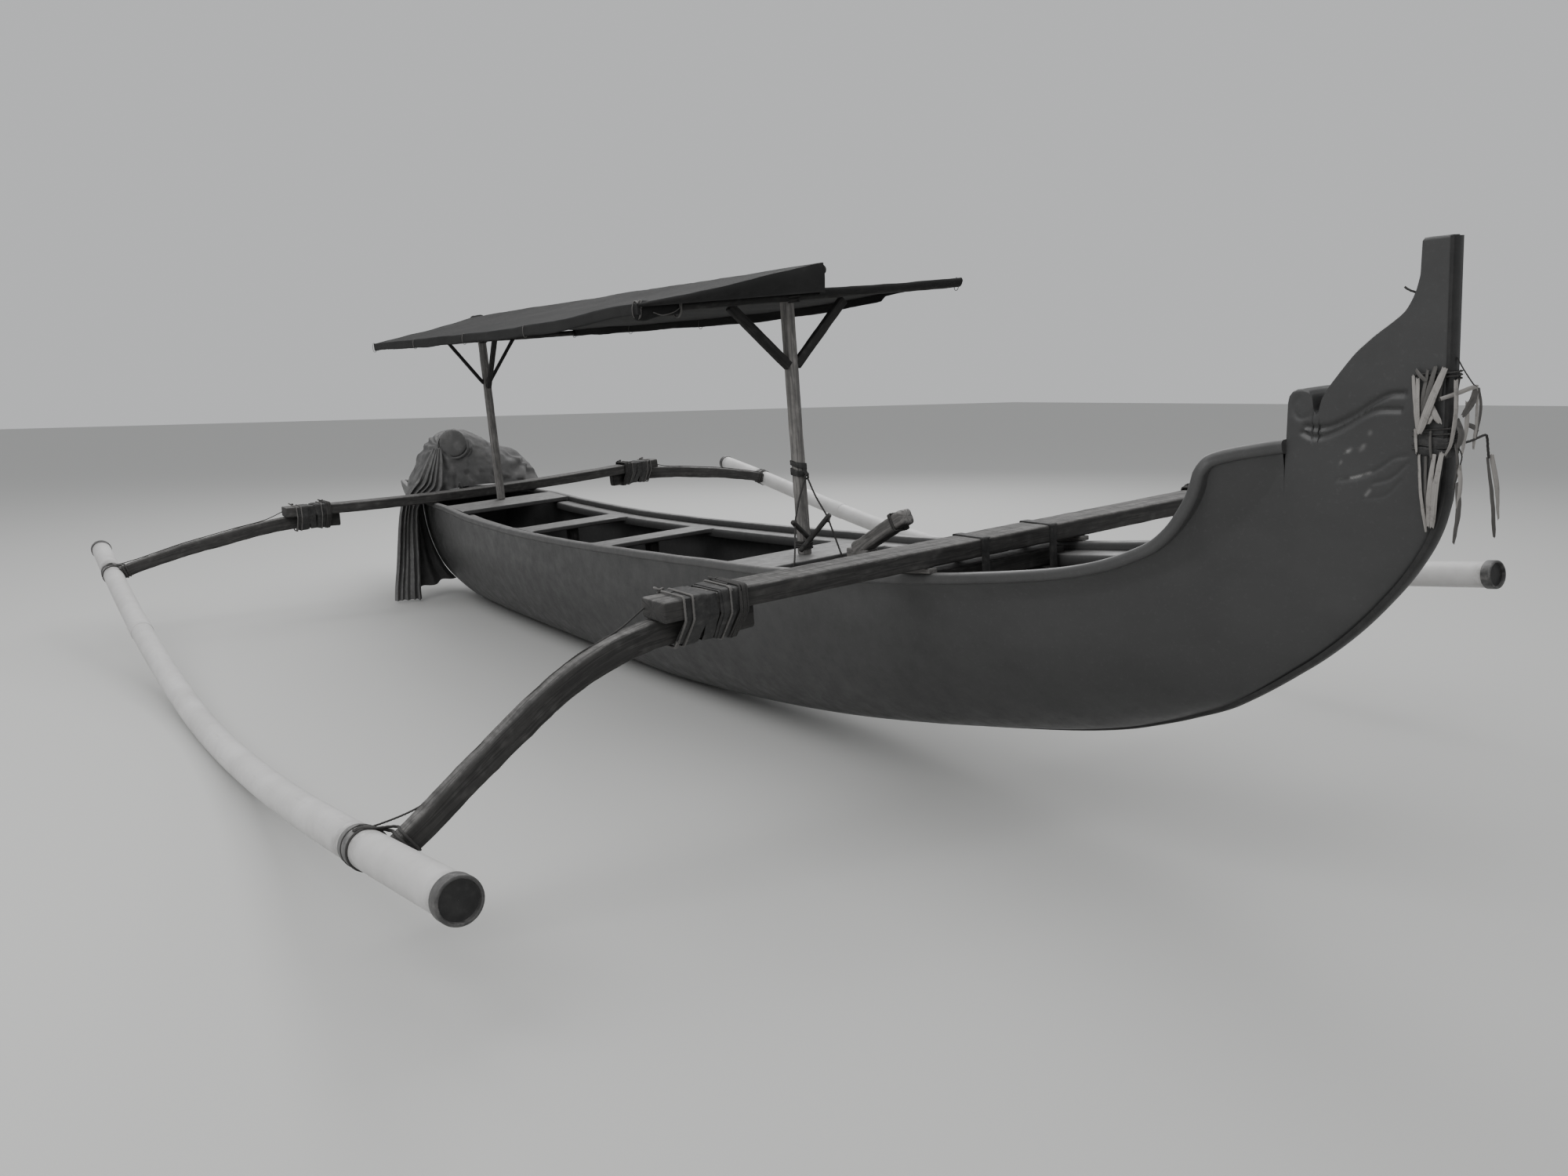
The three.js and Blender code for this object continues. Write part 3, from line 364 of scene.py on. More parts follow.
def block(width, height, corner, each=4, straight=6):
    """A rounded rectangle as a loop of points, with points along its straight sides too"""
    loop = []
    for quarter in range(4):
        a0 = quarter * math.pi / 2
        cx = (width / 2 - corner) * (1 if quarter in (0, 3) else -1)
        cy = (height / 2 - corner) * (1 if quarter in (0, 1) else -1)
        for t in np.linspace(0, math.pi / 2, each + 1):
            loop.append((cx + corner * math.cos(a0 + t), cy + corner * math.sin(a0 + t)))
        end = np.array(loop[-1])
        a1 = a0 + math.pi / 2
        nx = (width / 2 - corner) * (1 if (quarter + 1) % 4 in (0, 3) else -1)
        ny = (height / 2 - corner) * (1 if (quarter + 1) % 4 in (0, 1) else -1)
        target = np.array((nx + corner * math.cos(a1), ny + corner * math.sin(a1)))
        for t in np.linspace(0, 1, straight + 1)[1:-1]:
            loop.append(tuple(end + (target - end) * t))
    return np.array(loop)


def cord_surface(path, radius, sides=9, lay=5.0):
    """Laid rope: three strands that turn once in `lay` diameters"""
    length = np.linalg.norm(np.diff(path, axis=0), axis=1).sum()
    path = resample(path, max(6, int(length / (radius * 1.3))))
    turn = 2 * math.pi * 1.3 / (2 * lay)
    angles = np.linspace(0, 2 * math.pi, sides, endpoint=False)

    def section(i):
        r = radius * (0.9 + 0.14 * np.cos(3 * (angles - i * turn)))
        return np.stack([r * np.cos(angles), r * np.sin(angles)], 1)

    return sweep(path, section)


def strip(path, width, thickness, across):
    """A flat band along a path; across is the direction of its width"""
    edge = block(width, thickness, thickness * 0.48, each=2, straight=3)
    return sweep(path, edge[:, ::-1], across)


def tied(points, radius, steps=8):
    """Cord along a smooth line through the points"""
    return cord_surface(curve(points, steps), radius)


def corners(x0, x1, y0, y1):
    return [(x0, y0), (x1, y0), (x0, y1), (x1, y1)]


# Camera, floor and light
CAMERA = {"place": (6256, -3002, 1780), "azimuth": 147.724, "elevation": -11.714, "roll": -4.385}
LENS = 1566 / 2000 * 36


def add_camera():
    az, el, roll = (math.radians(CAMERA[k]) for k in ("azimuth", "elevation", "roll"))
    ahead = Vector((math.cos(el) * math.cos(az), math.cos(el) * math.sin(az), math.sin(el)))
    level = ahead.cross(Vector((0, 0, 1))).normalized()
    over = level.cross(ahead)
    right = math.cos(roll) * level + math.sin(roll) * over
    up = math.cos(roll) * over - math.sin(roll) * level
    turn = Matrix.Rotation(HEEL, 3, "X")
    right, up, ahead = turn @ right, turn @ up, turn @ ahead
    data = bpy.data.cameras.new("camera")
    data.sensor_width = 36
    data.lens = LENS
    data.clip_end = 200
    camera = bpy.data.objects.new("camera", data)
    bpy.context.scene.collection.objects.link(camera)
    columns = Matrix((right, up, -ahead)).transposed()
    camera.matrix_world = Matrix.Translation(Vector(world(CAMERA["place"]))) @ columns.to_4x4()
    bpy.context.scene.camera = camera


def add_floor():
    mesh = bpy.data.meshes.new("floor")
    reach = 60
    mesh.from_pydata([(-reach, -reach, 0), (reach, -reach, 0), (reach, reach, 0), (-reach, reach, 0)], [],
                     [(0, 1, 2, 3)])
    floor = bpy.data.objects.new("floor", mesh)
    bpy.context.scene.collection.objects.link(floor)
    matt = bpy.data.materials.new("floor")
    matt.use_nodes = True
    shader = matt.node_tree.nodes["Principled BSDF"]
    shader.inputs["Base Color"].default_value = (0.5, 0.5, 0.49, 1)
    shader.inputs["Roughness"].default_value = 0.9
    mesh.materials.append(matt)
    floor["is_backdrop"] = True


def add_light():
    sky = bpy.data.worlds.new("sky")
    sky.use_nodes = True
    back = sky.node_tree.nodes["Background"]
    back.inputs["Color"].default_value = (0.78, 0.79, 0.8, 1)
    back.inputs["Strength"].default_value = 0.75
    bpy.context.scene.world = sky
    for name, place, size, power in (
            ("key", (3.5, -7.0, 8.0), 7.0, 520), ("back", (-7.0, 6.0, 8.0), 8.0, 620),
            ("top", (0.0, 0.5, 9.0), 9.0, 420)):
        data = bpy.data.lights.new(name, "AREA")
        data.size = size
        data.energy = power
        light = bpy.data.objects.new(name, data)
        bpy.context.scene.collection.objects.link(light)
        light.location = place
        aim = Vector((0, 0, 0.8)) - Vector(place)
        light.rotation_euler = aim.to_track_quat("-Z", "Y").to_euler()


# Materials
WEAVE = 520.0  # threads of the cloths


class Look:
    """A material made of nodes: a shader and the small steps that feed it"""

    def __init__(self, name, roughness, metallic=0.0, **fixed):
        self.material = bpy.data.materials.new(name)
        self.material.use_nodes = True
        self.tree = self.material.node_tree
        self.shader = self.tree.nodes["Principled BSDF"]
        self.shader.inputs["Roughness"].default_value = roughness
        self.shader.inputs["Metallic"].default_value = metallic
        for key, value in fixed.items():
            self.shader.inputs[key.replace("_", " ")].default_value = value
        self.height = None

    def add(self, kind, **settings):
        node = self.tree.nodes.new(kind)
        for key, value in settings.items():
            setattr(node, key, value)
        return node

    def link(self, source, target):
        self.tree.links.new(source, target)

    def coords(self, scale, space):
        place = self.add("ShaderNodeTexCoord")
        mapping = self.add("ShaderNodeMapping")
        mapping.inputs["Scale"].default_value = scale
        self.link(place.outputs[space], mapping.inputs["Vector"])
        return mapping.outputs["Vector"]

    def noise(self, scale, detail=6, rough=0.6, stretch=(1, 1, 1), space="Object", warp=0.0):
        node = self.add("ShaderNodeTexNoise")
        node.inputs["Scale"].default_value = scale
        node.inputs["Detail"].default_value = detail
        node.inputs["Roughness"].default_value = rough
        node.inputs["Distortion"].default_value = warp
        self.link(self.coords(stretch, space), node.inputs["Vector"])
        return node.outputs["Fac"]

    def threads(self, direction):
        node = self.add("ShaderNodeTexWave", bands_direction=direction)
        node.inputs["Scale"].default_value = WEAVE
        node.inputs["Distortion"].default_value = 0.6
        node.inputs["Detail"].default_value = 2
        self.link(self.coords((1, 1, 1), "UV"), node.inputs["Vector"])
        return node.outputs["Fac"]

    # Reads the wear attribute: real wear, and on the rims and the cover's tail a painted highlight
    def worn(self):
        node = self.add("ShaderNodeAttribute", attribute_name="wear")
        return node.outputs["Fac"]

    def levels(self, value, low, high, to_low=0.0, to_high=1.0):
        node = self.add("ShaderNodeMapRange", clamp=True)
        for key, number in (("From Min", low), ("From Max", high), ("To Min", to_low), ("To Max", to_high)):
            node.inputs[key].default_value = number
        self.link(value, node.inputs["Value"])
        return node.outputs["Result"]

    def math(self, kind, a, b):
        node = self.add("ShaderNodeMath", operation=kind)
        for socket, value in zip(node.inputs, (a, b)):
            if isinstance(value, (int, float)):
                socket.default_value = value
            else:
                self.link(value, socket)
        return node.outputs[0]

    def mix(self, amount, first, second):
        node = self.add("ShaderNodeMix", data_type="RGBA")
        self.link(amount, node.inputs["Factor"])
        for socket, value in ((node.inputs["A"], first), (node.inputs["B"], second)):
            colour_input = [s for s in node.inputs if s.name == socket.name and s.type == "RGBA"][0]
            if isinstance(value, tuple):
                colour_input.default_value = (*value, 1)
            else:
                self.link(value, colour_input)
        return [s for s in node.outputs if s.type == "RGBA"][0]

    def colour(self, value):
        self.link(value, self.shader.inputs["Base Color"])

    def rough(self, value):
        self.link(value, self.shader.inputs["Roughness"])

    def bump(self, value, strength, distance):
        node = self.add("ShaderNodeBump")
        node.inputs["Strength"].default_value = strength
        node.inputs["Distance"].default_value = distance
        self.link(value, node.inputs["Height"])
        if self.height is not None:
            self.link(self.height, node.inputs["Normal"])
        self.height = node.outputs["Normal"]
        self.link(self.height, self.shader.inputs["Normal"])


def grey(value, tint=0.0):
    """A near neutral colour, a little warm (tint over 0) or cool (under 0)"""
    return (value * (1 + tint), value, value * (1 - tint))


def laminate(name, dark, light, worn_grey, roughness):
    """Gel-coated laminate: cloudy, dusty low down, scuffed pale where it is worn; on the rims, ledges and
    thwarts the pale grey on the upward faces is partly a painted highlight
    """
    look = Look(name, roughness)
    cloud = look.levels(look.noise(1.6, 5, 0.62, (0.6, 1, 1.4)), 0.3, 0.72)
    base = look.mix(cloud, grey(dark), grey(light))
    speck = look.levels(look.noise(90, 3, 0.7), 0.56, 0.74, 0, 0.35)
    base = look.mix(speck, base, grey(light * 1.5))
    scuff = look.levels(look.noise(9, 8, 0.75, (0.35, 1, 2.2), warp=0.6), 0.66, 0.76, 0, 0.5)
    base = look.mix(scuff, base, grey(light * 1.7, 0.02))
    # Worn grey where the wear attribute says: real scuffs on the hull, and on the rims, ledges and thwarts
    # partly a painted highlight on the upward faces
    wear = look.math("MULTIPLY", look.worn(), look.levels(look.noise(26, 7, 0.7), 0.3, 0.62, 0.45, 1))
    look.colour(look.mix(wear, base, grey(worn_grey, 0.02)))
    look.rough(look.levels(look.noise(12, 6, 0.7), 0.3, 0.7, roughness - 0.08, roughness + 0.14))
    look.bump(look.noise(14, 3, 0.5), 0.12, 0.004)
    look.bump(look.noise(260, 3, 0.6), 0.08, 0.0006)
    return look.material


def timber(name, dark, light, worn_grey):
    """Weathered wood: grain along the piece, cracks, and pale worn faces with chips"""
    roughness = 0.78
    look = Look(name, roughness)
    grain = look.noise(1.0, 8, 0.68, (7, 120, 1), "UV", 0.4)
    base = look.mix(look.levels(grain, 0.3, 0.7), grey(dark, 0.04), grey(light, 0.05))
    patch = look.levels(look.noise(11, 5, 0.7), 0.42, 0.66)
    base = look.mix(look.math("MULTIPLY", patch, 0.5), base, grey(dark * 0.6, 0.03))
    chips = look.levels(look.noise(46, 6, 0.72, (0.35, 1, 1)), 0.24, 0.72)
    wear = look.math("MULTIPLY", look.worn(), chips)
    base = look.mix(wear, base, grey(worn_grey, 0.03))
    split = look.levels(look.noise(1.0, 4, 0.6, (3, 60, 1), "UV", 1.2), 0.47, 0.5)
    cracks = look.math("MULTIPLY", look.math("SUBTRACT", 1.0, split), 0.55)
    deep = look.math("MULTIPLY", cracks, look.levels(grain, 0.35, 0.5))
    look.colour(look.mix(deep, base, grey(dark * 0.3)))
    look.rough(look.levels(grain, 0.2, 0.8, roughness - 0.1, roughness + 0.12))
    look.bump(grain, 0.5, 0.0025)
    look.bump(look.noise(180, 3, 0.6), 0.15, 0.0008)
    return look.material


def pipe_plastic(name):
    """Pale pipe, chalky, with fine scratches along it, grime near the lashings and at the ends, and darker on
    its downward faces
    """
    look = Look(name, 0.42, Specular_IOR_Level=0.4)
    cloud = look.levels(look.noise(3.0, 6, 0.65), 0.35, 0.7)
    base = look.mix(cloud, grey(0.56, 0.01), grey(0.44, 0.02))
    scratch = look.levels(look.noise(1.0, 5, 0.75, (3, 90, 1), "UV", 0.3), 0.6, 0.74, 0, 0.4)
    base = look.mix(scratch, base, grey(0.32, 0.02))
    speck = look.levels(look.noise(55, 5, 0.75), 0.66, 0.75, 0, 0.5)
    base = look.mix(speck, base, grey(0.3, 0.02))
    # Grime colour near the lashings and ends, and also darker on the downward faces
    grime_and_darkening = look.math("MULTIPLY", look.worn(), look.levels(look.noise(20, 6, 0.7), 0.32, 0.62))
    look.colour(look.mix(grime_and_darkening, base, grey(0.22, 0.03)))
    look.rough(look.levels(look.noise(18, 5, 0.7), 0.3, 0.7, 0.34, 0.6))
    look.bump(look.noise(60, 4, 0.6), 0.06, 0.001)
    return look.material


def rubber(name, dark, light, roughness=0.72):
    """Rubber and dark plastic: mottled, with dust where it is worn"""
    look = Look(name, roughness)
    base = look.mix(look.levels(look.noise(30, 6, 0.7), 0.35, 0.7), grey(dark), grey(light, 0.02))
    dust = look.math("MULTIPLY", look.worn(), look.levels(look.noise(70, 5, 0.7), 0.4, 0.66, 0, 0.8))
    look.colour(look.mix(dust, base, grey(min(light * 3, 0.4), 0.03)))
    look.bump(look.noise(120, 4, 0.6), 0.3, 0.001)
    return look.material


def fibre(name, dark, light):
    """Rope and cord: fine fibres with dirt between the strands"""
    look = Look(name, 0.9)
    strand = look.noise(1.0, 5, 0.7, (240, 900, 1), "UV", 0.5)
    base = look.mix(look.levels(strand, 0.3, 0.7), grey(dark, 0.03), grey(light, 0.04))
    dirt = look.levels(look.noise(22, 5, 0.7), 0.5, 0.75, 0, 0.5)
    look.colour(look.mix(dirt, base, grey(dark * 0.5)))
    look.bump(strand, 0.5, 0.0008)
    return look.material


def canvas(name, dark, light, stain, sheen):
    """Woven cloth: crossed threads, sun fade in soft clouds, stains and dust on the folds; on the cover's
    hanging pleats the pale dust colour is a painted highlight
    """
    look = Look(name, 0.86, Sheen_Weight=sheen, Sheen_Roughness=0.5, Specular_IOR_Level=0.25)
    cloud = look.levels(look.noise(2.4, 6, 0.65), 0.32, 0.7)
    base = look.mix(cloud, grey(dark), grey(light, 0.01))
    thread = look.math("MULTIPLY", look.threads("X"), look.threads("Y"))
    base = look.mix(look.levels(thread, 0.0, 0.8, 0, 0.25), base, grey(light * 1.35, 0.01))
    mark = look.levels(look.noise(13, 7, 0.75, warp=0.8), 0.6, 0.72, 0, 0.6)
    base = look.mix(mark, base, grey(stain, 0.01))
    # Pale dust colour where the wear attribute says; on the cover's tail it is a painted highlight on the
    # pleats facing the camera
    dust = look.math("MULTIPLY", look.worn(), look.levels(look.noise(30, 6, 0.7), 0.3, 0.65))
    look.colour(look.mix(dust, base, grey(min(light * 1.9, 0.62), 0.015)))
    look.bump(thread, 0.35, 0.0006)
    look.bump(look.noise(38, 5, 0.6), 0.3, 0.002)
    return look.material


def metal(name, dark, light, metallic, roughness):
    """Painted or cast metal with rust bloom and dull patches"""
    look = Look(name, roughness, metallic)
    base = look.mix(look.levels(look.noise(16, 6, 0.7), 0.35, 0.68), grey(dark), grey(light))
    rust = look.levels(look.noise(42, 7, 0.75), 0.56, 0.68, 0, 0.7)
    look.colour(look.mix(rust, base, grey(light * 0.75, 0.08)))
    dull = look.noise(25, 6, 0.7)
    look.rough(look.levels(dull, 0.3, 0.7, roughness - 0.1, min(roughness + 0.25, 0.95)))
    look.bump(look.noise(90, 5, 0.65), 0.3, 0.0012)
    return look.material


def leaf(name, dark, light):
    """Dry leaf: fine veins along it, darker spots"""
    look = Look(name, 0.68)
    vein = look.noise(1.0, 6, 0.7, (8, 420, 1), "UV", 0.2)
    base = look.mix(look.levels(vein, 0.3, 0.7), grey(dark, 0.06), grey(light, 0.05))
    spots = look.levels(look.noise(34, 6, 0.7), 0.54, 0.7, 0, 0.7)
    look.colour(look.mix(spots, base, grey(dark * 0.5, 0.06)))
    look.bump(vein, 0.5, 0.0008)
    return look.material


def make_looks():
    return {
        "hull": laminate("hull_laminate", 0.03, 0.046, 0.3, 0.44),
        "rim": laminate("rim_laminate", 0.034, 0.056, 0.23, 0.48),
        "inside": laminate("inside_laminate", 0.035, 0.065, 0.16, 0.6),
        "trim": rubber("dark_trim", 0.009, 0.022, 0.55),
        "pipe": pipe_plastic("float_pipe"),
        "cap": rubber("float_cap", 0.03, 0.09, 0.5),
        "beam": timber("dark_timber", 0.024, 0.05, 0.17),
        "post": timber("post_timber", 0.17, 0.27, 0.36),
        "board": timber("worn_timber", 0.09, 0.2, 0.32),
        "pole": timber("canopy_timber", 0.012, 0.028, 0.08),
        "strap": rubber("rubber_strip", 0.014, 0.04),
        "band": rubber("grey_strip", 0.07, 0.16),
        "cord": fibre("dark_cord", 0.02, 0.06),
        "twine": fibre("pale_twine", 0.07, 0.17),
        "canopy": canvas("canopy_canvas", 0.01, 0.02, 0.034, sheen=0.01),
        "cover": canvas("cover_cloth", 0.07, 0.125, 0.045, sheen=0.05),
        # A darker copy of the cover cloth for the flap: painted shade, for the hull's shadow over it
        "cover_painted_shade": canvas("cover_cloth_painted_shade", 0.035, 0.07, 0.02, sheen=0.03),
        "iron": metal("painted_iron", 0.05, 0.11, 0.5, 0.5),
        "bronze": metal("cast_bronze", 0.24, 0.4, 0.9, 0.42),
        "leaf": leaf("dry_leaf", 0.18, 0.34),
        "old_leaf": leaf("old_leaf", 0.05, 0.11),
    }


add_camera()
add_floor()
add_light()
LOOKS = make_looks()


# Hull
HEAD_TOP = [  # the head's top outline: x, z; a scroll with a notch behind the long concave rise
    (4206, 1500), (4209, 1517), (4216, 1526), (4229, 1531), (4247, 1532), (4262, 1527), (4271, 1516),
    (4274, 1498), (4277, 1476), (4283, 1468), (4290, 1474), (4294, 1496), (4299, 1512), (4312, 1536),
    (4334, 1566), (4358, 1597), (4382, 1625), (4410, 1650), (4436, 1671), (4468, 1694), (4498, 1718),
    (4514, 1742), (4526, 1770), (4534, 1802), (4538, 1834), (4537, 1862), (4533, 1882), (4540, 1888),
    (4560, 1889), (4605, 1889)]
GROOVES = [  # carved lines on the head: points x, z, then width and depth
    ([(4258, 1433), (4290, 1430), (4323, 1434), (4360, 1450), (4394, 1469), (4432, 1495), (4469, 1514),
      (4506, 1517)], 7.5, 8.0),
    ([(4250, 1418), (4270, 1408), (4302, 1407), (4340, 1422), (4373, 1441), (4408, 1462), (4443, 1476),
      (4498, 1477)], 7.0, 7.0),
    ([(4351, 1295), (4400, 1303), (4448, 1325), (4488, 1355), (4522, 1362)], 5.0, 2.6),
    ([(4443, 1291), (4483, 1305), (4522, 1344)], 5.0, 2.8),
    ([(4423, 1251), (4471, 1260), (4507, 1298)], 5.0, 1.6),
    ([(4233, 1507), (4224, 1490), (4226, 1470), (4240, 1456), (4262, 1460), (4277, 1470)], 7.0, 3.0),
]
SCUFFS = [  # rubbed places on the head's starboard side: points x, z, then width and strength
    ([(4373, 1394), (4379, 1378), (4372, 1370)], 4.0, 0.9),
    ([(4364, 1362), (4358, 1344), (4354, 1329)], 3.6, 0.45),
    ([(4353, 1297), (4397, 1305), (4440, 1320)], 3.0, 0.8),
    ([(4427, 1421), (4406, 1375)], 5.5, 0.3),
    ([(4425, 1259), (4434, 1272)], 4.0, 0.4),
]
HEAD_HALF = {"low": 84, "high": 44}
NECK = (10, 24)  # the points of the head's outline that a smooth line runs through
HEAD_COLUMNS = 150


def head_half(x, z):
    """Half-thickness of the closed bow: the hull's skin below, the head's plate above"""
    z_low, z_high = 1300.0, 1889.0
    along = np.clip((x - HEAD_BACK) / (STEM_X - HEAD_BACK), 0, 1)
    up = np.clip((z - z_low) / (z_high - z_low), 0, 1)
    plate = HEAD_HALF["low"] + (HEAD_HALF["high"] - HEAD_HALF["low"]) * up
    plate = plate + (22 - plate) * along
    blend = ramp(z, 1200, 1400)
    return skin(x, np.minimum(z, sheer_at(x))) * (1 - blend) + plate * blend


def from_line(x, z, points):
    """How far each place on the head's side is from a carved or rubbed line"""
    line = curve([(a, 0, b) for a, b in points], 10)
    gap = np.full(x.shape, 1e9)
    for (ax, _, az), (bx, _, bz) in zip(line[:-1], line[1:]):
        dx, dz = bx - ax, bz - az
        t = np.clip(((x - ax) * dx + (z - az) * dz) / (dx * dx + dz * dz + 1e-9), 0, 1)
        gap = np.minimum(gap, np.hypot(x - ax - t * dx, z - az - t * dz))
    return gap


def strongest(lines, x, z):
    """The strongest of some lines at each place, each with its width and strength"""
    found = np.zeros_like(x)
    for points, width, strength in lines:
        found = np.maximum(found, strength * np.exp(-(from_line(x, z, points) / width) ** 2))
    return found


def mirrored(x, y, z, between=(), skip=0):
    """A line from the starboard edge down to the middle, then up again to port"""
    side = np.stack([np.full_like(z, x), -y, z], 1)[::-1]
    return np.concatenate([side, *between, side[::-1][skip:] * (1, -1, 1)])


def hull_rows(xs, steps, power, below, inset=0, least=0):
    """The skin, or with an inset the inner wall, from one sheer round the keel to the other"""
    rows = []
    for x in xs:
        keel, sheer, _, _, drop, _ = hull_at(x)
        low = keel + inset + (sheer - drop - keel - inset) * np.linspace(0, 1, steps[0]) ** power
        high = np.linspace(sheer - drop, sheer - RIM["height"] + below, steps[1])[1:]
        z = np.concatenate([low, high])
        y = np.maximum(skin(np.full_like(z, x), z - inset * 0.4) - inset, least)
        y[0] = 0
        rows.append(mirrored(x, y, z, skip=1))
    return surface(rows)


def head_surface():
    """The closed bow and its head, with the carved lines cut into both sides"""
    bend = curve([(x, 0, z) for x, z in HEAD_TOP[NECK[0]:NECK[1]]], 6)[:, ::2]
    outline = np.concatenate([HEAD_TOP[:NECK[0]], bend, HEAD_TOP[NECK[1]:]])
    xs = np.unique([*np.arange(HEAD_BACK, STEM_X, 3.5), *(x for x, _ in HEAD_TOP), STEM_X])
    rows = []
    for x in xs:
        keel, top = float(keel_at(x)), float(np.interp(x, outline[:, 0], outline[:, 1]))
        z = keel + (top - keel) * np.linspace(0, 1, HEAD_COLUMNS) ** 0.9
        full = np.full_like(z, x)
        y = head_half(full, z)
        y = y - strongest(GROOVES, full, z) * (y > 25) - rounded(top - z, 5) - rounded(STEM_X - x, 4)
        y = np.maximum(y, 3)
        y[0] = 3
        rows.append(mirrored(x, y, z))
    return closed(rows)


def bow_deck():
    """The closed foredeck between the raised sides, with its inner faces up to the rims"""
    rows = []
    for x in np.linspace(OPEN[1] + 2, HEAD_BACK, 60):
        deck = 962 + (1075 - 962) * np.clip((x - 3640) / 510, 0, 1)
        z = np.linspace(deck, ledge_top(x) + 6, 16)
        y = np.maximum(skin(np.full_like(z, x), z) - 26, 6)
        flat = np.linspace(-y[0], y[0], 12)[1:-1]
        across = np.stack([np.full_like(flat, x), flat, deck + 10 * (1 - (flat / y[0]) ** 2)], 1)
        rows.append(mirrored(x, y, z, between=[across]))
    return surface(rows)


def stern_deck():
    rows = []
    across = np.linspace(-1, 1, 15)
    for x in np.linspace(-4622, OPEN[0], 50):
        z = ledge_top(x)
        y = across * float(skin(x, z))
        rows.append(np.stack([np.full_like(across, x), y, z + 9 * (1 - across**2)], 1))
    return surface(rows)


def bulkhead(x, top):
    """A flat wall across the hull, from the inner skin up to `top`"""
    keel = float(keel_at(x))
    z = keel + WALL + (top - keel - WALL) * np.linspace(0, 1, 18) ** 1.4
    y = np.maximum(skin(np.full_like(z, x), z - WALL * 0.4) - WALL + 2, 2)
    across = np.linspace(-1, 1, 13)
    return surface([np.stack([np.full(13, x), across * half, np.full(13, height)], 1)
                    for half, height in zip(y, z)])


def hull_wear(places, normals):
    """Scuffs along the keel and the bow's turn"""
    x, y, z = places.T
    low = 1 - ramp(z - keel_at(x), 0, 60)
    keel = 0.3 * low * ramp(x, -2600, -1500) * (1 - ramp(x, 2300, 3400))
    broken = ramp(lumps(places, 22, 77), -0.25, 0.35)
    return np.maximum(keel, strongest(SCUFFS, x, z) * broken * (y < -20))


def make_hull():
    along = np.concatenate([np.linspace(-4625, 3300, 130), np.linspace(3330, HEAD_BACK, 64)])
    parts = [hull_rows(along, (34, 14), 1.7, 8), head_surface(), bow_deck(), stern_deck()]
    piece("hull", parts, "hull", wear=hull_wear, smooth=50,
          replaces=("hull_bay_aft", "hull_bay_middle", "hull_bay_forward", "hull_bow", "hull_stern"))
    inside = [hull_rows(np.linspace(OPEN[0], OPEN[1], 110), (26, 8), 1.5, 6, WALL, 2),
              bulkhead(OPEN[0], 745), bulkhead(OPEN[1], 962)]
    piece("hull_inside", inside, "inside", smooth=50)


def stem_line():
    """The stem's edge from its top down and back under the forefoot"""
    up = [(STEM_X, z) for z in np.linspace(1886, 1290, 40)]
    xs = np.concatenate([np.linspace(STEM_X - 1, 4560, 20), np.linspace(4545, 1400, 150)])
    return np.array(up + [(x, float(keel_at(x))) for x in xs])


def make_stem_band():
    """Dark facing down the stem and along the forward keel, thinning as it runs aft"""
    line = stem_line()
    path = np.stack([line[:, 0], np.zeros(len(line)), line[:, 1]], 1)
    path = resample(path, 220)
    share = np.linspace(0, 1, len(path))

    def section(i):
        half = 21 - 9 * ramp(share[i], 0.2, 0.75)
        thick = 9 - 4.5 * ramp(share[i], 0.3, 0.8)
        return [(-half, -6), (-half, thick - 3), (-half + 4, thick), (0, thick + 1.5), (half - 4, thick),
                (half, thick - 3), (half, -6)]

    tangent = np.gradient(path, axis=0)
    outwards = np.stack([-tangent[:, 2], np.zeros(len(path)), tangent[:, 0]], 1)
    piece("stem_facing", [sweep(path, section, up=outwards)], "trim", smooth=35)


def rim_rows(side):
    xs = np.concatenate([np.linspace(-4560, 3300, 150), np.linspace(3325, HEAD_BACK - 1, 90)])
    rows = []
    for x in xs:
        sheer = float(sheer_at(x))
        outer = float(skin(x, sheer - RIM["height"])) + RIM["inset"]
        width = min(RIM["width"], outer - 2)
        slope = float(sheer_at(x + 5) - sheer_at(x - 5)) / 10 if x < HEAD_BACK - 8 else 0.1
        steep = min(1 / math.sqrt(1 + slope * slope), 1)
        shape = block(width, RIM["height"] + 6, min(13, width * 0.4), each=5, straight=4)
        centre = outer - width / 2
        lean = np.array([-slope, 0, 1]) * steep
        middle = np.array([x, side * centre, sheer]) - lean * (RIM["height"] + 6) / 2
        rows.append(middle + laid(shape, (0, side, 0), lean))
    rows = np.array(rows)
    return closed(rows + lumps(rows, 160, 3 + side)[..., None] * np.array([0, 1.2, 1.2]))


# Pale grey on the rims, side ledges and thwarts: a little everywhere as real wear, and most on the upward
# faces as a painted highlight where the rims catch the sky; less towards the bow
def rim_wear_and_highlight(places, normals):
    return (0.12 + 0.8 * ramp(normals[:, 2], 0.45, 0.95)) * (1 - 0.75 * ramp(places[:, 0], 2500, 3500))


def ledge_outer(x):
    sheer = float(sheer_at(x))
    return float(skin(x, sheer - RIM["height"] - LEDGE["thickness"])) - WALL - 3


def ledge_rows(side):
    rows = []
    lip, thick, wall = LEDGE["lip"], LEDGE["thickness"], LEDGE["lip_thickness"]
    for x in np.linspace(LEDGE["back"], LEDGE["front"], 120):
        top = ledge_top(x)
        outer = ledge_outer(x)
        inner = outer - LEDGE["width"]
        shape = [(outer, top - thick), (outer, top), (inner + 14, top), (inner + 7, top - 1.5),
                 (inner + 2.5, top - 6), (inner, top - 13), (inner, top - lip + 3), (inner + 3, top - lip),
                 (inner + wall - 2, top - lip), (inner + wall, top - lip + 4),
                 (inner + wall, top - thick - 8), (inner + wall + 7, top - thick)]
        rows.append([(x, side * y, z) for y, z in shape])
    return closed(rows)


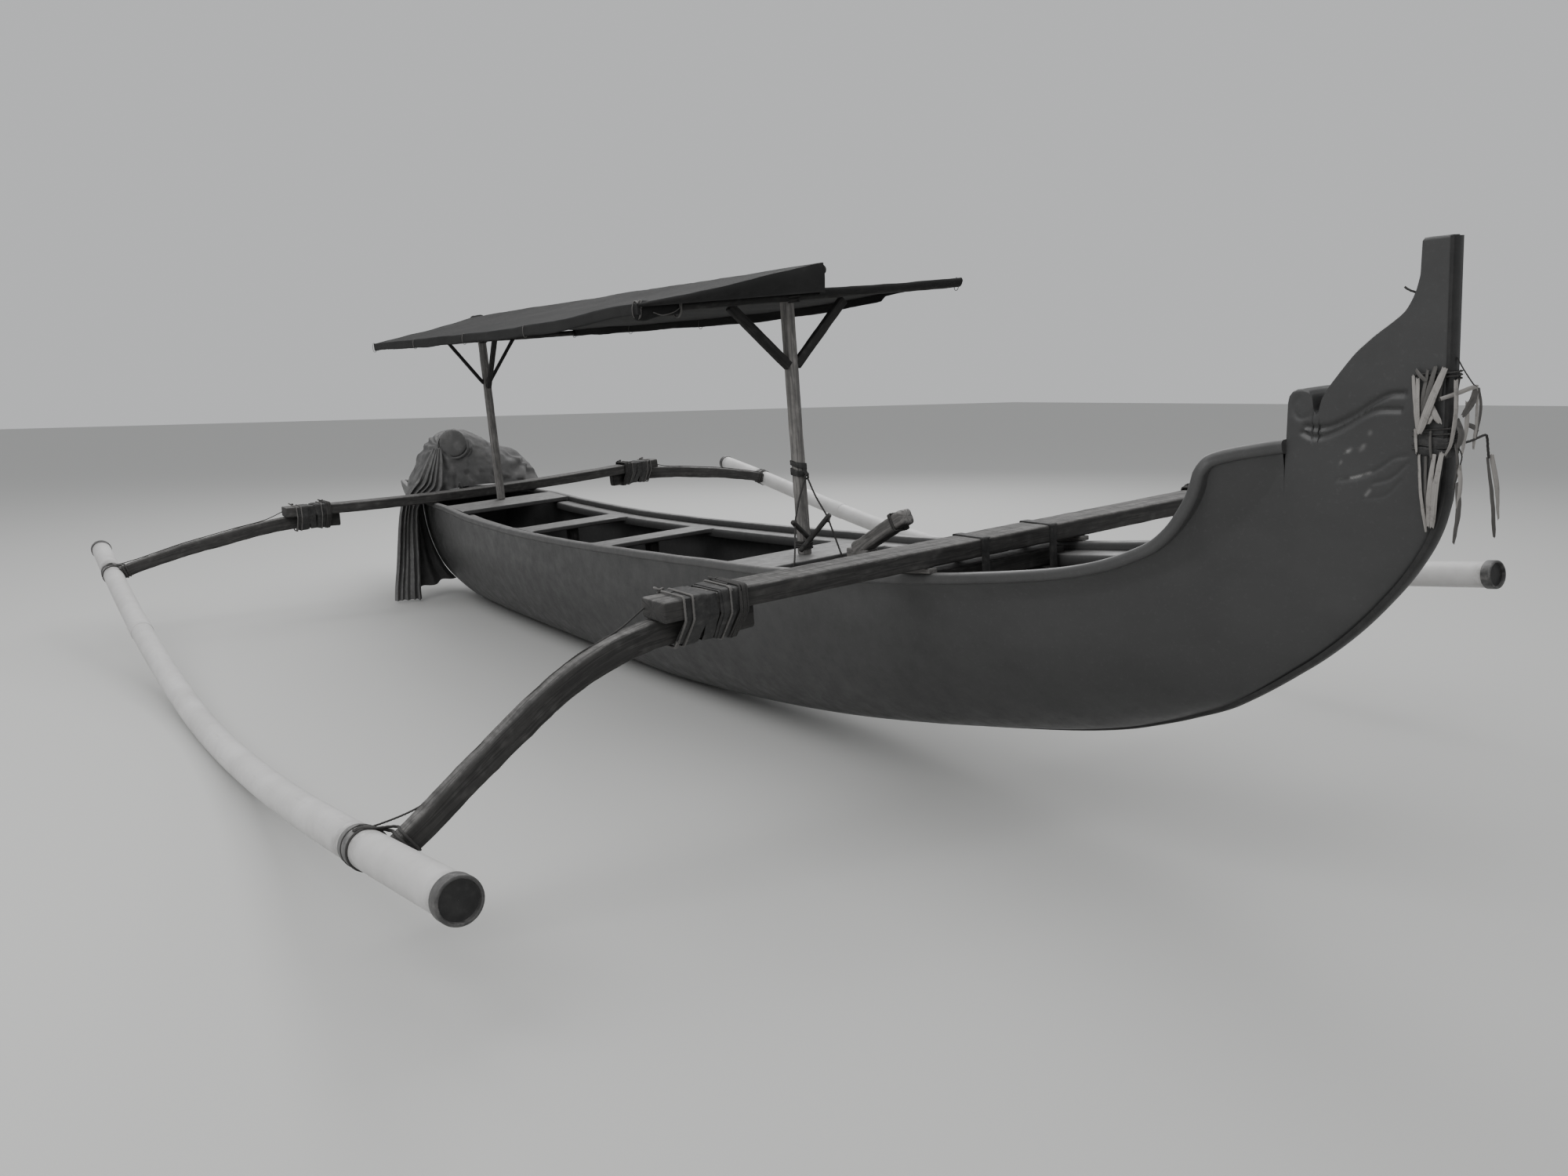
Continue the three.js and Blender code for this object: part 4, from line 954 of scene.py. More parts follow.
def thwart_surface(back, front, top_of, half_of, thickness, fillet=46):
    """A flush board whose ends spread into the ledges in round fillets"""
    rows = []
    ends = half_of((back + front) / 2) + 4
    top0, top1 = top_of(back), top_of(front)
    for share in np.concatenate([np.linspace(-1, -0.72, 14), np.linspace(-0.68, 0.68, 24),
                                 np.linspace(0.72, 1, 14)]):
        y = share * ends
        flare = rounded(ends - abs(y), fillet)
        shape = block(front - back + 2 * flare, thickness, 7, each=3, straight=8)
        xs = (back + front) / 2 + shape[:, 0]
        top = top0 + (top1 - top0) * (xs - back) / (front - back)
        rows.append(np.stack([xs, np.full(len(xs), y), top - thickness / 2 + shape[:, 1]], 1))
    return closed(rows)


def make_cockpit():
    """Rims, side ledges and thwarts"""
    def rim_piece(name, body, node, smooth=50):
        piece(name, [body], "rim", replaces=(node,), wear=rim_wear_and_highlight, smooth=smooth)

    def between_ledges(x):
        return ledge_outer(x) - LEDGE["width"] + 4

    def between_rims(x):
        return float(skin(x, ledge_top(x))) + RIM["inset"] - RIM["width"]

    for label, side in SIDES.items():
        rim_piece(f"rim_{label}", rim_rows(side), f"gunwale_{label}", 60)
        rim_piece(f"side_ledge_{label}", ledge_rows(side), f"ledge_{label}")
    for name, (back, front) in THWARTS.items():
        body = thwart_surface(back, front, lambda x: ledge_top(x) + 0.4, between_ledges, THWART_THICKNESS)
        rim_piece(f"{name}_board", body, name)
    thickness = STERN_THWART["thickness"]
    body = thwart_surface(STERN_THWART["back"], STERN_THWART["front"], lambda x: ledge_top(x) + thickness,
                          between_rims, thickness, 20)
    rim_piece("stern_thwart_board", body, "thwart_1_stern")


make_hull()
make_stem_band()
make_cockpit()


# Outriggers
FLOAT_LINE = [(-3200, 2467, 690), (-2560, 2464, 588), (-1700, 2450, 440), (-900, 2428, 322),
              (0, 2400, 240), (800, 2376, 243), (1700, 2350, 312), (2600, 2325, 428), (3565, 2267, 547)]
FLOAT_PATH = curve(FLOAT_LINE, 40)
FLOAT_JOINT = -1500
FLOAT_TIE = KNEE["offset"] - 72  # the float's lashing, from its beam's middle
CAP = {"extra": 5, "length": 42}
END_STEPS = np.array([[0], [0.05], [0.15], [0.35], [0.6]])  # short steps at a knee's ends


def float_at(x, side):
    return np.array([x, side * np.interp(x, FLOAT_PATH[:, 0], FLOAT_PATH[:, 1]),
                     np.interp(x, FLOAT_PATH[:, 0], FLOAT_PATH[:, 2])])


def float_way(x, side):
    return unit(float_at(x + 4, side) - float_at(x - 4, side))


def revolve(origin, way, profile, sides=48):
    """A turned shape: rows of (distance along, radius) round an axis"""
    way = unit(np.asarray(way, float))
    top = np.array([0, 0, 1.0]) if abs(way[2]) < 0.9 else np.array([1.0, 0, 0])
    top = unit(top - top.dot(way) * way)
    ring = laid(circle(1, sides), np.cross(way, top), top)
    return surface([np.asarray(origin, float) + way * a + r * ring for a, r in profile], wrap=True)


def convex(points):
    """The outline of the smallest convex shape round flat points, anticlockwise"""
    points = sorted(map(tuple, points))

    def half(row):
        out = []
        for p in row:
            while len(out) > 1 and ((out[-1][0] - out[-2][0]) * (p[1] - out[-2][1])
                                    - (out[-1][1] - out[-2][1]) * (p[0] - out[-2][0])) <= 0:
                out.pop()
            out.append(p)
        return out[:-1]

    return np.array(half(points) + half(points[::-1]), float)


def around(points, margin, count):
    """An even loop at a distance outside flat points, with rounded corners"""
    hull = convex(points)
    loop = []
    for i, corner in enumerate(hull):
        before, after = corner - hull[i - 1], hull[(i + 1) % len(hull)] - corner
        a0 = math.atan2(-before[0], before[1])
        a1 = math.atan2(-after[0], after[1])
        while a1 < a0:
            a1 += 2 * math.pi
        for a in np.linspace(a0, a1, 7):
            loop.append(corner + margin * np.array([math.cos(a), math.sin(a)]))
    loop = np.array(loop + [loop[0]])
    flat = resample(np.column_stack([loop, np.zeros(len(loop))]), count + 1)[:, :2]
    return flat[:-1]


def wind(place, points, margin, start, end, turns, phase=0.0, growth=0.0):
    """A path that winds round flat points; place(a, b, c) gives the point in space"""
    count = 96
    path = []
    total = int(turns * count)
    loops = {}
    for s in range(total + 1):
        turn = s / count
        level = round(margin + growth * turn, 2)
        if level not in loops:
            loops[level] = around(points, level, count)
        a, b = loops[level][int(round((phase + turn) * count)) % count]
        path.append(place(a, b, start + (end - start) * s / total))
    return np.array(path)


def timber_wear(places, normals):
    return 0.85 * ramp(normals[:, 2], 0.35, 0.85) + 0.25 * ramp(np.abs(lumps(places, 30, 5)), 0.3, 0.6)


def edge_wear(places, normals):
    return 0.5 * ramp(np.abs(lumps(places, 26, 9)), 0.25, 0.55) + 0.3 * ramp(normals[:, 2], 0.5, 0.9)


def hewn(path, width, depth, corner, rough, seed, ends=6, up=(0, 0, 1), taper=None, straight=5):
    """A timber along a path: slightly uneven faces, soft corners and blunt ends"""
    path = np.asarray(path, float)
    _, side, top = frames(path, up)
    rows = []
    reach = reach_of(path)
    far_width, far_depth = taper or (width, depth)
    for i, p in enumerate(path):
        share = reach[i] / reach[-1]
        pull = 2 * rounded(min(reach[i], reach[-1] - reach[i]), ends)
        w = width + (far_width - width) * share - pull
        d = depth + (far_depth - depth) * share - pull
        shape = block(w, d, min(corner, w / 2 - 0.5, d / 2 - 0.5), 4, straight)
        row = p + laid(shape, side[i], top[i])
        amount = rough * (lumps(row, 70, seed) + 0.5 * lumps(row, 24, seed + 3))
        rows.append(row + unit(row - p) * np.minimum(amount, rough * 0.4)[:, None])
    return closed(rows)


def spaced(a, b, step, ends=8):
    """Points from a to b, closer together near both ends"""
    a, b = np.asarray(a, float), np.asarray(b, float)
    length = np.linalg.norm(b - a)
    near = ends * np.array([0, 0.12, 0.35, 0.65])
    inner = np.linspace(ends, length - ends, max(3, int(length / step)))
    marks = np.concatenate([near, inner, length - near[::-1]])
    return a + (b - a) * (marks / length)[:, None]


def beam_bottom(beam, y):
    return beam["bottom"] + beam["rise"] * (np.abs(y) / BEAM["half"]) ** 2


def make_beam(end, beam):
    path = spaced((beam["x"], -BEAM["half"], 0), (beam["x"], BEAM["half"], 0), 22)
    path[:, 2] = beam_bottom(beam, path[:, 1]) + BEAM["height"] / 2
    body = hewn(path, BEAM["width"], BEAM["height"], 9, 2.4, beam["x"], ends=7, straight=10)
    piece(f"cross_beam_{end}", [body], "beam", replaces=(f"beam_{end}",), wear=timber_wear, smooth=55)


def knee_middle(beam, rows, side):
    """The knee's middle line, under its beam first and then down to the float"""
    under = [(y, beam_bottom(beam, y) - 0.3 - KNEE["depth"] / 2)
             for y in (KNEE["start"], (KNEE["start"] + KNEE["lashed"]) / 2, KNEE["lashed"])]
    return curve([(beam["x"] + KNEE["offset"], y, z) for y, z in under + rows], 12) * (1, side, 1)


def make_knee(end, beam, rows, label, side):
    path = resample(knee_middle(beam, rows, side), 70)
    start = path[:1] + (path[1] - path[0]) * END_STEPS
    stop = path[-1:] - (path[-1] - path[-2]) * END_STEPS[::-1]
    body = hewn(np.concatenate([start, path[1:-1], stop]), KNEE["width"], KNEE["depth"], 13, 2.6,
                beam["x"] * 0.7 + side * 9, ends=9, taper=(KNEE["width"] * 0.86, KNEE["tip"]), straight=7)
    piece(f"knee_timber_{end}_{label}", [body], "beam", replaces=(f"knee_{end}_{label}",),
          wear=timber_wear, smooth=55)


def joint_outline(beam, y):
    """Beam and knee together, in the plane across them"""
    bottom = float(beam_bottom(beam, y))
    x, half = beam["x"], BEAM["width"] / 2
    knee_x, knee_half = x + KNEE["offset"], KNEE["width"] / 2
    return corners(x - half, x + half, bottom, bottom + BEAM["height"]) + [
        (knee_x - knee_half, bottom - KNEE["depth"]), (knee_x + knee_half, bottom - KNEE["depth"])]


def make_beam_lashing(end, beam, label, side):
    """Rubber strips wound round beam and knee, tied off with cord at both ends"""
    outline = joint_outline(beam, 1230)
    seed = beam["x"] * 0.01 + side

    def place(a, b, c):
        return (a, side * c, b)

    def wound(margin, start, stop, turns, phase, growth, radius):
        return cord_surface(wind(place, outline, margin, start, stop, turns, phase, growth), radius)

    strips = []
    for start, stop, turns, width, margin, phase in (
            (1128, 1206, 2.1, 52, 1.5, 0.1), (1142, 1196, 1.6, 44, 5.0, 0.55),
            (1316, 1252, 1.7, 50, 1.5, 0.3), (1300, 1270, 1.2, 46, 4.5, 0.8),
            (1205, 1262, 1.0, 40, 1.0, 0.02)):
        path = wind(place, outline, margin, start, stop, turns, phase, growth=1.2)
        path[:, 1] += 3.5 * lumps(path, 60, seed + width)
        strips.append(strip(path, width, 2.6, (0, side, 0)))
    piece(f"lashing_strips_{end}_{label}", strips, "strap", wear=edge_wear,
          replaces=(f"beam_lashing_{end}_{label}",), smooth=50)
    dark = [wound(9.5, 1112, 1136, 3.2, 0.4, 0.8, 4.0), wound(9.5, 1150, 1122, 2.1, 0.7, 0.8, 4.0)]
    pale = [wound(7.0, 1330, 1336, 1.15, 0.2, 0, 4.2), wound(7.0, 1306, 1300, 1.1, 0.9, 0, 4.2),
            wound(11.0, 1168, 1172, 1.05, 0.6, 0, 3.6)]
    top = float(beam_bottom(beam, 1300)) + BEAM["height"]
    back = beam["x"] - BEAM["width"] / 2
    for y, spread, cords in ((1130, 24, dark), (1328, 20, pale)):
        knot = [(-2, 0, 2), (-12, spread * 0.4, 12), (-4, spread, 18), (10, spread * 0.6, 12), (4, -4, 13),
                (-10, -8, 6), (-16, 6, -4)]
        cords.append(tied([(back + a, side * (y + b), top + c) for a, b, c in knot], 4.4))
    piece(f"lashing_cords_{end}_{label}", dark, "cord", smooth=60)
    piece(f"lashing_twine_{end}_{label}", pale, "twine", smooth=60)


def make_float_lashing(end, beam, rows, label, side):
    """A wide band round the float, a cord in its middle, and cord over the knee's tip"""
    x = beam["x"] + FLOAT_TIE
    origin, way = float_at(x, side), float_way(x, side)
    r = FLOAT_RADIUS

    def at(along, inward, up):
        """A place near the lashing: along the float, towards the hull and up"""
        return origin + way * along + np.array([0, -side * inward, up])

    band = [(-43, r), (-43, r + 2.6), (-41, r + 3.4), (-14, r + 3.8), (-11, r + 3.2), (-10, r + 1.2),
            (-3, r + 1.2), (-2, r + 3.6), (6, r + 4.2), (34, r + 4.0), (39, r + 3.2), (40, r)]
    edge = [(40.5, r), (41, r + 4.5), (44, r + 6.2), (47.5, r + 4.5), (48, r)]
    groove = [(-10, r + 1), (-9.5, r + 4), (-6.5, r + 5.8), (-3.5, r + 4), (-3, r + 1)]
    middle = knee_middle(beam, rows, side)
    away = unit(middle[-1] - middle[-6])
    lift = unit(np.cross(away, (1, 0, 0)) * side)
    lift *= 1 if lift[2] > 0 else -1
    half, reach = KNEE["tip"] / 2, KNEE["width"] * 0.43 + 5
    over = []
    for gap, radius in ((0, 5.4), (17, 4.6)):
        grip = middle[-1] - away * (24 + gap)
        round_knee = [grip + lift * rise + np.array([ahead, 0, 0])
                      for rise, ahead in ((half + 4, -30), (half + 4.5, 6), (half - 6, reach),
                                          (10 - half, reach), (-half - 3, 4), (-half - 2, -30))]
        over.append(tied([at(14 + gap * 0.6, -24, r), at(26 + gap * 0.5, -2, r + 6),
                          at(38 + gap * 0.4, 26, r - 1), *round_knee, at(28 - gap * 0.5, r + 5, -14),
                          at(8 - gap * 0.5, 40, 10 - r)], radius, 9))
    piece(f"float_band_{end}_{label}", [revolve(origin, way, band)], "band",
          replaces=(f"float_lashing_{end}_{label}",), wear=edge_wear, smooth=35)
    piece(f"float_cord_{end}_{label}", [revolve(origin, way, edge), revolve(origin, way, groove)] + over,
          "cord", smooth=60)
    start = np.array([beam["x"] - 58, side * (BEAM["half"] - 8),
                      float(beam_bottom(beam, BEAM["half"])) + BEAM["height"] * 0.55])
    line = [start, start + np.array([4, side * 26, -12])]
    for t in np.linspace(0.34, 0.86, 6):
        on_knee = middle[int(t * (len(middle) - 1))]
        line.append(on_knee + np.array([-16, 0, KNEE["depth"] / 2 * (1 - 0.2 * t) + 5]))
    line += [at(-4, 40, r - 6), at(-7, 0, r + 6), at(-7, -44, r - 14)]
    piece(f"knee_line_{end}_{label}", [tied(line, 3.2, 10)], "cord", smooth=60)


def float_soiling_and_darkening(places, normals):
    value = np.zeros(len(places))
    for beam in (FRONT_BEAM, REAR_BEAM):
        x = beam["x"] + FLOAT_TIE
        value = np.maximum(value, 0.9 * (1 - ramp(np.abs(places[:, 0] - x), 45, 150)))
    ends = np.minimum(places[:, 0] - FLOAT_ENDS[0], FLOAT_ENDS[1] - places[:, 0])
    value = np.maximum(value, 0.8 * (1 - ramp(ends, 0, 60)))
    # The downward faces are darkened too
    return np.maximum(value, 0.25 * (1 - ramp(normals[:, 2], -0.9, -0.2)))


def make_float(label, side):
    xs = np.linspace(*FLOAT_ENDS, 260)
    path = np.array([float_at(x, side) for x in xs])
    body = sweep(path, circle(FLOAT_RADIUS, 44), up=(0, 0, 1))
    sleeve = [(-70, FLOAT_RADIUS), (-69, FLOAT_RADIUS + 2.4), (-66, FLOAT_RADIUS + 3.2),
              (66, FLOAT_RADIUS + 3.2), (69, FLOAT_RADIUS + 2.4), (70, FLOAT_RADIUS)]
    parts = [body, revolve(float_at(FLOAT_JOINT, side), float_way(FLOAT_JOINT, side), sleeve, 44)]
    piece(f"float_pipe_{label}", parts, "pipe", replaces=(f"float_{label}",),
          wear=float_soiling_and_darkening, smooth=40)
    for end, x, sign in (("front", FLOAT_ENDS[1], 1), ("rear", FLOAT_ENDS[0], -1)):
        origin, way = float_at(x, side), float_way(x, side) * sign
        r, tip = FLOAT_RADIUS + CAP["extra"], CAP["length"]
        ring = [(-1, r - 4), (0, r - 1.5), (2, r), (tip - 8, r), (tip - 3, r - 1.2), (tip - 0.8, r - 4),
                (tip, r - 7), (tip - 1.5, r - 9.5), (tip - 6, r - 10.5), (tip - 14, r - 11)]
        disc = [(tip - 14, r - 10.8), (tip - 15, r - 13), (tip - 15.5, r - 20), (tip - 14.5, r - 36),
                (tip - 13.5, 10), (tip - 13.4, 0.5)]
        piece(f"cap_ring_{end}_{label}", [revolve(origin, way, ring)], "cap",
              replaces=(f"float_cap_{end}_{label}",), wear=edge_wear, smooth=40)
        piece(f"cap_disc_{end}_{label}", [revolve(origin, way, disc)], "trim",
              wear=edge_wear, smooth=50)


for END, BEAM_ROW, KNEE_ROWS in (("front", FRONT_BEAM, FRONT_KNEE), ("rear", REAR_BEAM, REAR_KNEE)):
    make_beam(END, BEAM_ROW)
    for LABEL, SIDE in SIDES.items():
        make_knee(END, BEAM_ROW, KNEE_ROWS, LABEL, SIDE)
        make_beam_lashing(END, BEAM_ROW, LABEL, SIDE)
        make_float_lashing(END, BEAM_ROW, KNEE_ROWS, LABEL, SIDE)
for LABEL, SIDE in SIDES.items():
    make_float(LABEL, SIDE)


# Timber inside the boat
BAND_PLACES = (-120, 210)
BITT = {"foot": 2110, "head": 2452, "rise": 0.5, "width": 66, "depth": 70, "heel": 100}
BITT_LEAN = (0.894, 0.447)  # cosine and sine of the bitt's rise
FLOOR = {"z": 150, "thickness": 18, "back": -2000, "front": 1300, "half": 150,
         "bearers": (-1700, -200, 1150), "bearer_z": 120}
STANCHIONS = {"stanchion_2": -940, "stanchion_3": 165}
BRACE = {"foot": 1560, "rise": 1.35}


def make_plank():
    centre = (PLANK["back"] + PLANK["front"]) / 2
    middle = (PLANK["top"] + PLANK["bottom"]) / 2
    path = spaced((centre, -PLANK["half"], middle), (centre, PLANK["half"], middle), 20, 4)
    body = hewn(path, PLANK["front"] - PLANK["back"], PLANK["top"] - PLANK["bottom"], 7, 1.6, 31, ends=4)
    piece("cross_plank_timber", [body], "beam", replaces=("cross_plank",), wear=timber_wear, smooth=55)


def make_beam_straps():
    """Rubber strips that hold the cross plank up to the front beam"""
    half = BEAM["width"] / 2
    outline = corners(FRONT_BEAM["x"] - half, FRONT_BEAM["x"] + half, PLANK["bottom"],
                      FRONT_BEAM["bottom"] + BEAM["height"])
    for i, y in enumerate(BAND_PLACES, 1):
        strips = []
        for margin, start, stop, turns, width, phase in ((1.4, y - 6, y + 6, 2.1, 30, 0.1),
                                                         (3.0, y + 9, y - 8, 1.5, 26, 0.5)):
            path = wind(lambda a, b, c: (a, c, b), outline, margin, start, stop, turns, phase, growth=0.7)
            strips.append(strip(path, width, 2.2, (0, 1, 0)))
        piece(f"beam_strap_{i}", strips, "strap", replaces=(f"beam_band_{i}",), wear=edge_wear, smooth=50)


def make_chocks():
    """Wedges between the rising gunwales and the front beam"""
    for label, side in SIDES.items():
        rows = []
        for x in np.linspace(FRONT_BEAM["x"] - 84, FRONT_BEAM["x"] + 84, 24):
            low, high = float(sheer_at(x)) + 0.3, FRONT_BEAM["bottom"] - 0.3
            shape = block(34, max(high - low, 2), min(4, (high - low) * 0.3), 3, 4)
            rows.append(np.stack([np.full(len(shape), x), side * (369 + shape[:, 0]),
                                  (low + high) / 2 + shape[:, 1]], 1))
        piece(f"chock_{label}", [closed(rows)], "board", replaces=(f"beam_chock_{label}",),
              wear=timber_wear, smooth=50)


def make_bitt():
    """The slanting mooring bitt on its heel block, with a few turns of cord"""
    foot, head, width, depth = (BITT[k] for k in ("foot", "head", "width", "depth"))
    top = ledge_top(foot + BITT["heel"]) + 0.3
    middle = top + depth / 2
    path = spaced((foot, 0, middle), (head, 0, middle + (head - foot) * BITT["rise"]), 16, 12)
    arm = hewn(path, width, depth * 0.92, 15, 4.0, 77, ends=12)
    heel = hewn(spaced((foot - 40, 0, top + 22), (foot + BITT["heel"], 0, top + 22), 16, 5), width, 44, 7,
                1.6, 78, ends=5)
    piece("bitt", [arm, heel], "board", replaces=("mooring_bitt",), wear=timber_wear, smooth=55)
    c, s = BITT_LEAN

    def place(across, over, along):
        return (foot + along * c - over * s, across, middle + along * s + over * c)

    outline = corners(-width / 2, width / 2, -depth / 2, depth / 2)
    path = wind(place, outline, 1.0, 306, 330, 2.2, 0.3, growth=0.5)
    piece("bitt_cord", [cord_surface(path, 4.0)], "cord", smooth=60)


def make_floor():
    """Three bottom boards on their bearers, and the stanchions that stand on them"""
    parts = []
    z = FLOOR["z"] + FLOOR["thickness"] / 2
    width = 2 * FLOOR["half"] / 3
    for k in (-1, 0, 1):
        path = spaced((FLOOR["back"] + 6 * k, k * width, z), (FLOOR["front"] - 9 * k, k * width, z), 60, 3)
        parts.append(hewn(path, width - 4, FLOOR["thickness"], 3, 1.2, 40 + k, ends=3))
    z = FLOOR["bearer_z"]
    for x in FLOOR["bearers"]:
        half = float(skin(x, z)) - WALL - 8
        parts.append(hewn(spaced((x, -half, z), (x, half, z), 30, 4), 44, 34, 5, 1.0, x, ends=4))
    piece("bottom_boards", parts, "board", replaces=("floor_boards",), wear=timber_wear, smooth=55)
    for name, x in STANCHIONS.items():
        z0 = FLOOR["z"] + FLOOR["thickness"]
        z1 = min(ledge_top(x - 30), ledge_top(x + 30)) - THWART_THICKNESS
        body = hewn(spaced((x, 0, z0), (x, 0, z1), 25, 4), 60, 60, 8, 1.8, x, ends=2, up=(1, 0, 0))
        piece(f"{name}_timber", [body], "beam", replaces=(name,), wear=edge_wear, smooth=55)


def make_posts():
    """The canopy's posts, the struts under its bars and the brace under its ridge"""
    top = POLE["z"] - POLE["radius"] - 0.3
    half = POST["x"] / 2
    for name, x, foot in (("post_front", FRONT_POST_X, ledge_top(FRONT_POST_X + half)),
                          ("post_rear", REAR_POST_X, ledge_top(REAR_POST_X) + STERN_THWART["thickness"] + 1)):
        body = hewn(spaced((x, 0, foot + 0.3), (x, 0, top), 24, 4), POST["y"], POST["x"], 5, 1.5, x, ends=2,
                    up=(1, 0, 0))
        piece(f"{name}_timber", [body], "post", replaces=(name,), wear=edge_wear, smooth=50)
    for end, x, foot, head, width, depth in (("front", FRONT_POST_X + half - 15, 1640, (292, 1902), 30, 58),
                                             ("rear", REAR_POST_X - half + 12, 1596, (232, 1880), 24, 36)):
        for label, side in SIDES.items():
            start = np.array((x, side * (POST["y"] / 2 + 0.3), foot))
            stop = np.array((x, side * head[0], head[1]))
            way = unit(stop - start)
            body = hewn(spaced(start - way * 6, stop + way * 4, 20, 5), width, depth * abs(way[1]), 5, 1.4,
                        x + side, ends=4)
            piece(f"strut_{end}_{label}_timber", [body], "pole", replaces=(f"strut_{end}_{label}",),
                  wear=edge_wear, smooth=50)
    x0 = REAR_POST_X + half
    x1 = x0 + (top - BRACE["foot"]) / BRACE["rise"]
    body = hewn(spaced((x0 + 2, 0, BRACE["foot"] + 2), (x1 - 18, 0, top - 8), 20, 5), 30, 32, 5, 1.2, 12,
                ends=4)
    piece("ridge_brace_timber", [body], "pole", replaces=("ridge_brace",), wear=edge_wear, smooth=50)


def make_pole(name, start, stop, radius, node, seed):
    """A round pole, a little bent and knotty, with soft ends"""
    path = spaced(start, stop, 14, 8)
    reach = reach_of(path)
    rows = []
    ring = circle(1, 22)
    _, side, top = frames(path, (0, 0, 1))
    for i, p in enumerate(path):
        r = radius - 7 / 8 * rounded(min(reach[i], reach[-1] - reach[i]), 8)
        r = r - 0.8 + 0.8 * math.sin(reach[i] / 95 + seed)
        row = p + r * laid(ring, side[i], top[i])
        rows.append(row + (row - p) / radius * np.minimum(1.4 * lumps(row, 50, seed), 0.6)[:, None])
    piece(name, [closed(rows)], "pole", replaces=(node,), wear=edge_wear, smooth=60)


def make_bars():
    for name, bar, node in (("canopy_pole_front", FRONT_BAR, "canopy_bar_front"),
                            ("canopy_pole_rear", REAR_BAR, "canopy_bar_rear")):
        ends = [(bar["x"], y, bar["z"] + bar["slope"] * y) for y in (bar["from"], bar["to"])]
        make_pole(name, *ends, BAR_RADIUS, node, bar["x"] * 0.01)
    make_pole("canopy_ridge", (POLE["back"], 0, POLE["z"]), (POLE["front"], 0, POLE["z"]), POLE["radius"],
              "ridge_pole", 4.0)


make_plank()
make_beam_straps()
make_chocks()
make_bitt()
make_floor()
make_posts()
make_bars()


# Canopy
CANOPY = np.array([  # x, starboard hem y and z, ridge z, port shoulder y and z, port hem y and z
    (-2228, -722, 1912.8, 2046, 330, 1976, 722, 1912.8), (-2150, -722, 1912.8, 2046, 330, 1976, 722, 1912.8),
    (-1200, -724, 1905, 2046, 300, 1970, 730, 1900), (-200, -728, 1899, 2046, 240, 1964, 760, 1895),
    (800, -738, 1908, 2046, 160, 1966, 830, 1906), (1680, -758, 1935, 2046, 84, 1957, 905, 1966),
    (1790, -760, 1935, 2046, 76, 1957, 925, 1967)], float)
CLOTH = 2.4
SKIRT = 2.2
CLOTH_ROWS = 120
FRONT_REACH = 204


def canopy_row(x):
    """One line across the cloth, from the starboard hem over the ridge to the port hem"""
    sy, sz, rz, hy, hz, py, pz = (float(monotone(CANOPY[:, 0], CANOPY[:, k], x)) for k in range(1, 8))
    sag = 9 * abs(math.sin((x + 2228) / 640))
    t = np.linspace(0, 1, 25)
    star = np.stack([sy + (-26 - sy) * t, sz + (rz - sz) * t - (7 + sag) * np.sin(math.pi * t)], 1)
    crown = np.array([(-18, rz + 1.6), (-8, rz + 2.6), (0, rz + 2.8), (8, rz + 2.6), (18, rz + 1.6)])
    steep = np.array([(26, rz), (34, rz - 3.5)])
    drop = np.stack([34 + (hy - 34) * t[1:], rz - 3.5 + (hz - rz + 3.5) * t[1:] ** 0.82], 1)
    port = np.stack([hy + (py - hy) * t[1:],
                     hz + (pz - hz) * t[1:] - (3 + sag * 0.8) * np.sin(math.pi * t[1:])], 1)
    flat = np.concatenate([star, crown, steep, drop, port])
    return np.column_stack([np.full(len(flat), x), flat])


def sheet_solid(rows, thickness):
    """A thin closed cloth from a grid: upper face, lower face and edges"""
    rows = np.asarray(rows, float)
    n = unit(np.cross(np.gradient(rows, axis=0), np.gradient(rows, axis=1)))
    both = np.concatenate([rows + n * thickness / 2, (rows - n * thickness / 2)[:, ::-1]], 1)
    points, faces, uv = surface(both, wrap=True)
    turn = both.shape[1]
    for base in (0, (len(both) - 1) * turn):
        for a in range(turn // 2 - 1):
            faces.append([base + a, base + a + 1, base + turn - 2 - a, base + turn - 1 - a])
            uv.append([[0, a * 0.01], [0, a * 0.01 + 0.01], [0.002, a * 0.01 + 0.01], [0.002, a * 0.01]])
    return points, faces, uv


def canopy_wear(places, normals):
    under = 1 - ramp(normals[:, 2], -0.4, 0.1)
    seam = np.exp(-((places[:, 1] + 230) / 150) ** 2) * (1 - ramp(places[:, 0], 200, 1300))
    return np.clip(0.55 * under + 0.4 * seam, 0, 1)


def canopy_cloth_rows():
    """The cloth over the ridge, with its point over the pole's end and the fold that hangs in front"""
    xs = np.linspace(-2228, 1790, CLOTH_ROWS)
    rows = np.array([canopy_row(x) for x in xs])
    wave = 4.5 * lumps(rows * (0.4, 1, 0), 130, 2) + 1.6 * lumps(rows * (1, 1, 0), 45, 8)
    rows[..., 2] += np.minimum(wave, 3.5)
    y = rows[..., 1]
    reach = np.clip(1 - np.where(y < 0, -y / 748, y / 110), 0, 1)
    rows[..., 0] += FRONT_REACH * reach * ramp(xs, 1250, 1790)[:, None]
    front = rows[-1]
    hem = np.where(front[:, 1] < 0, 1922 + 10 * reach[-1],
                   1932 + (front[:, 2] - 1960) * ramp(front[:, 1], 20, 110))
    fold = []
    for share in np.linspace(0, 1, 11)[1:]:
        row = front.copy()
        row[:, 2] += (hem - front[:, 2]) * share
        row[:, 0] += 5 * math.sin(math.pi * min(share * 1.3, 1)) + 2.5 * lumps(row, 60, 19) * share
        fold.append(row)
    return np.concatenate([rows, np.array(fold)])


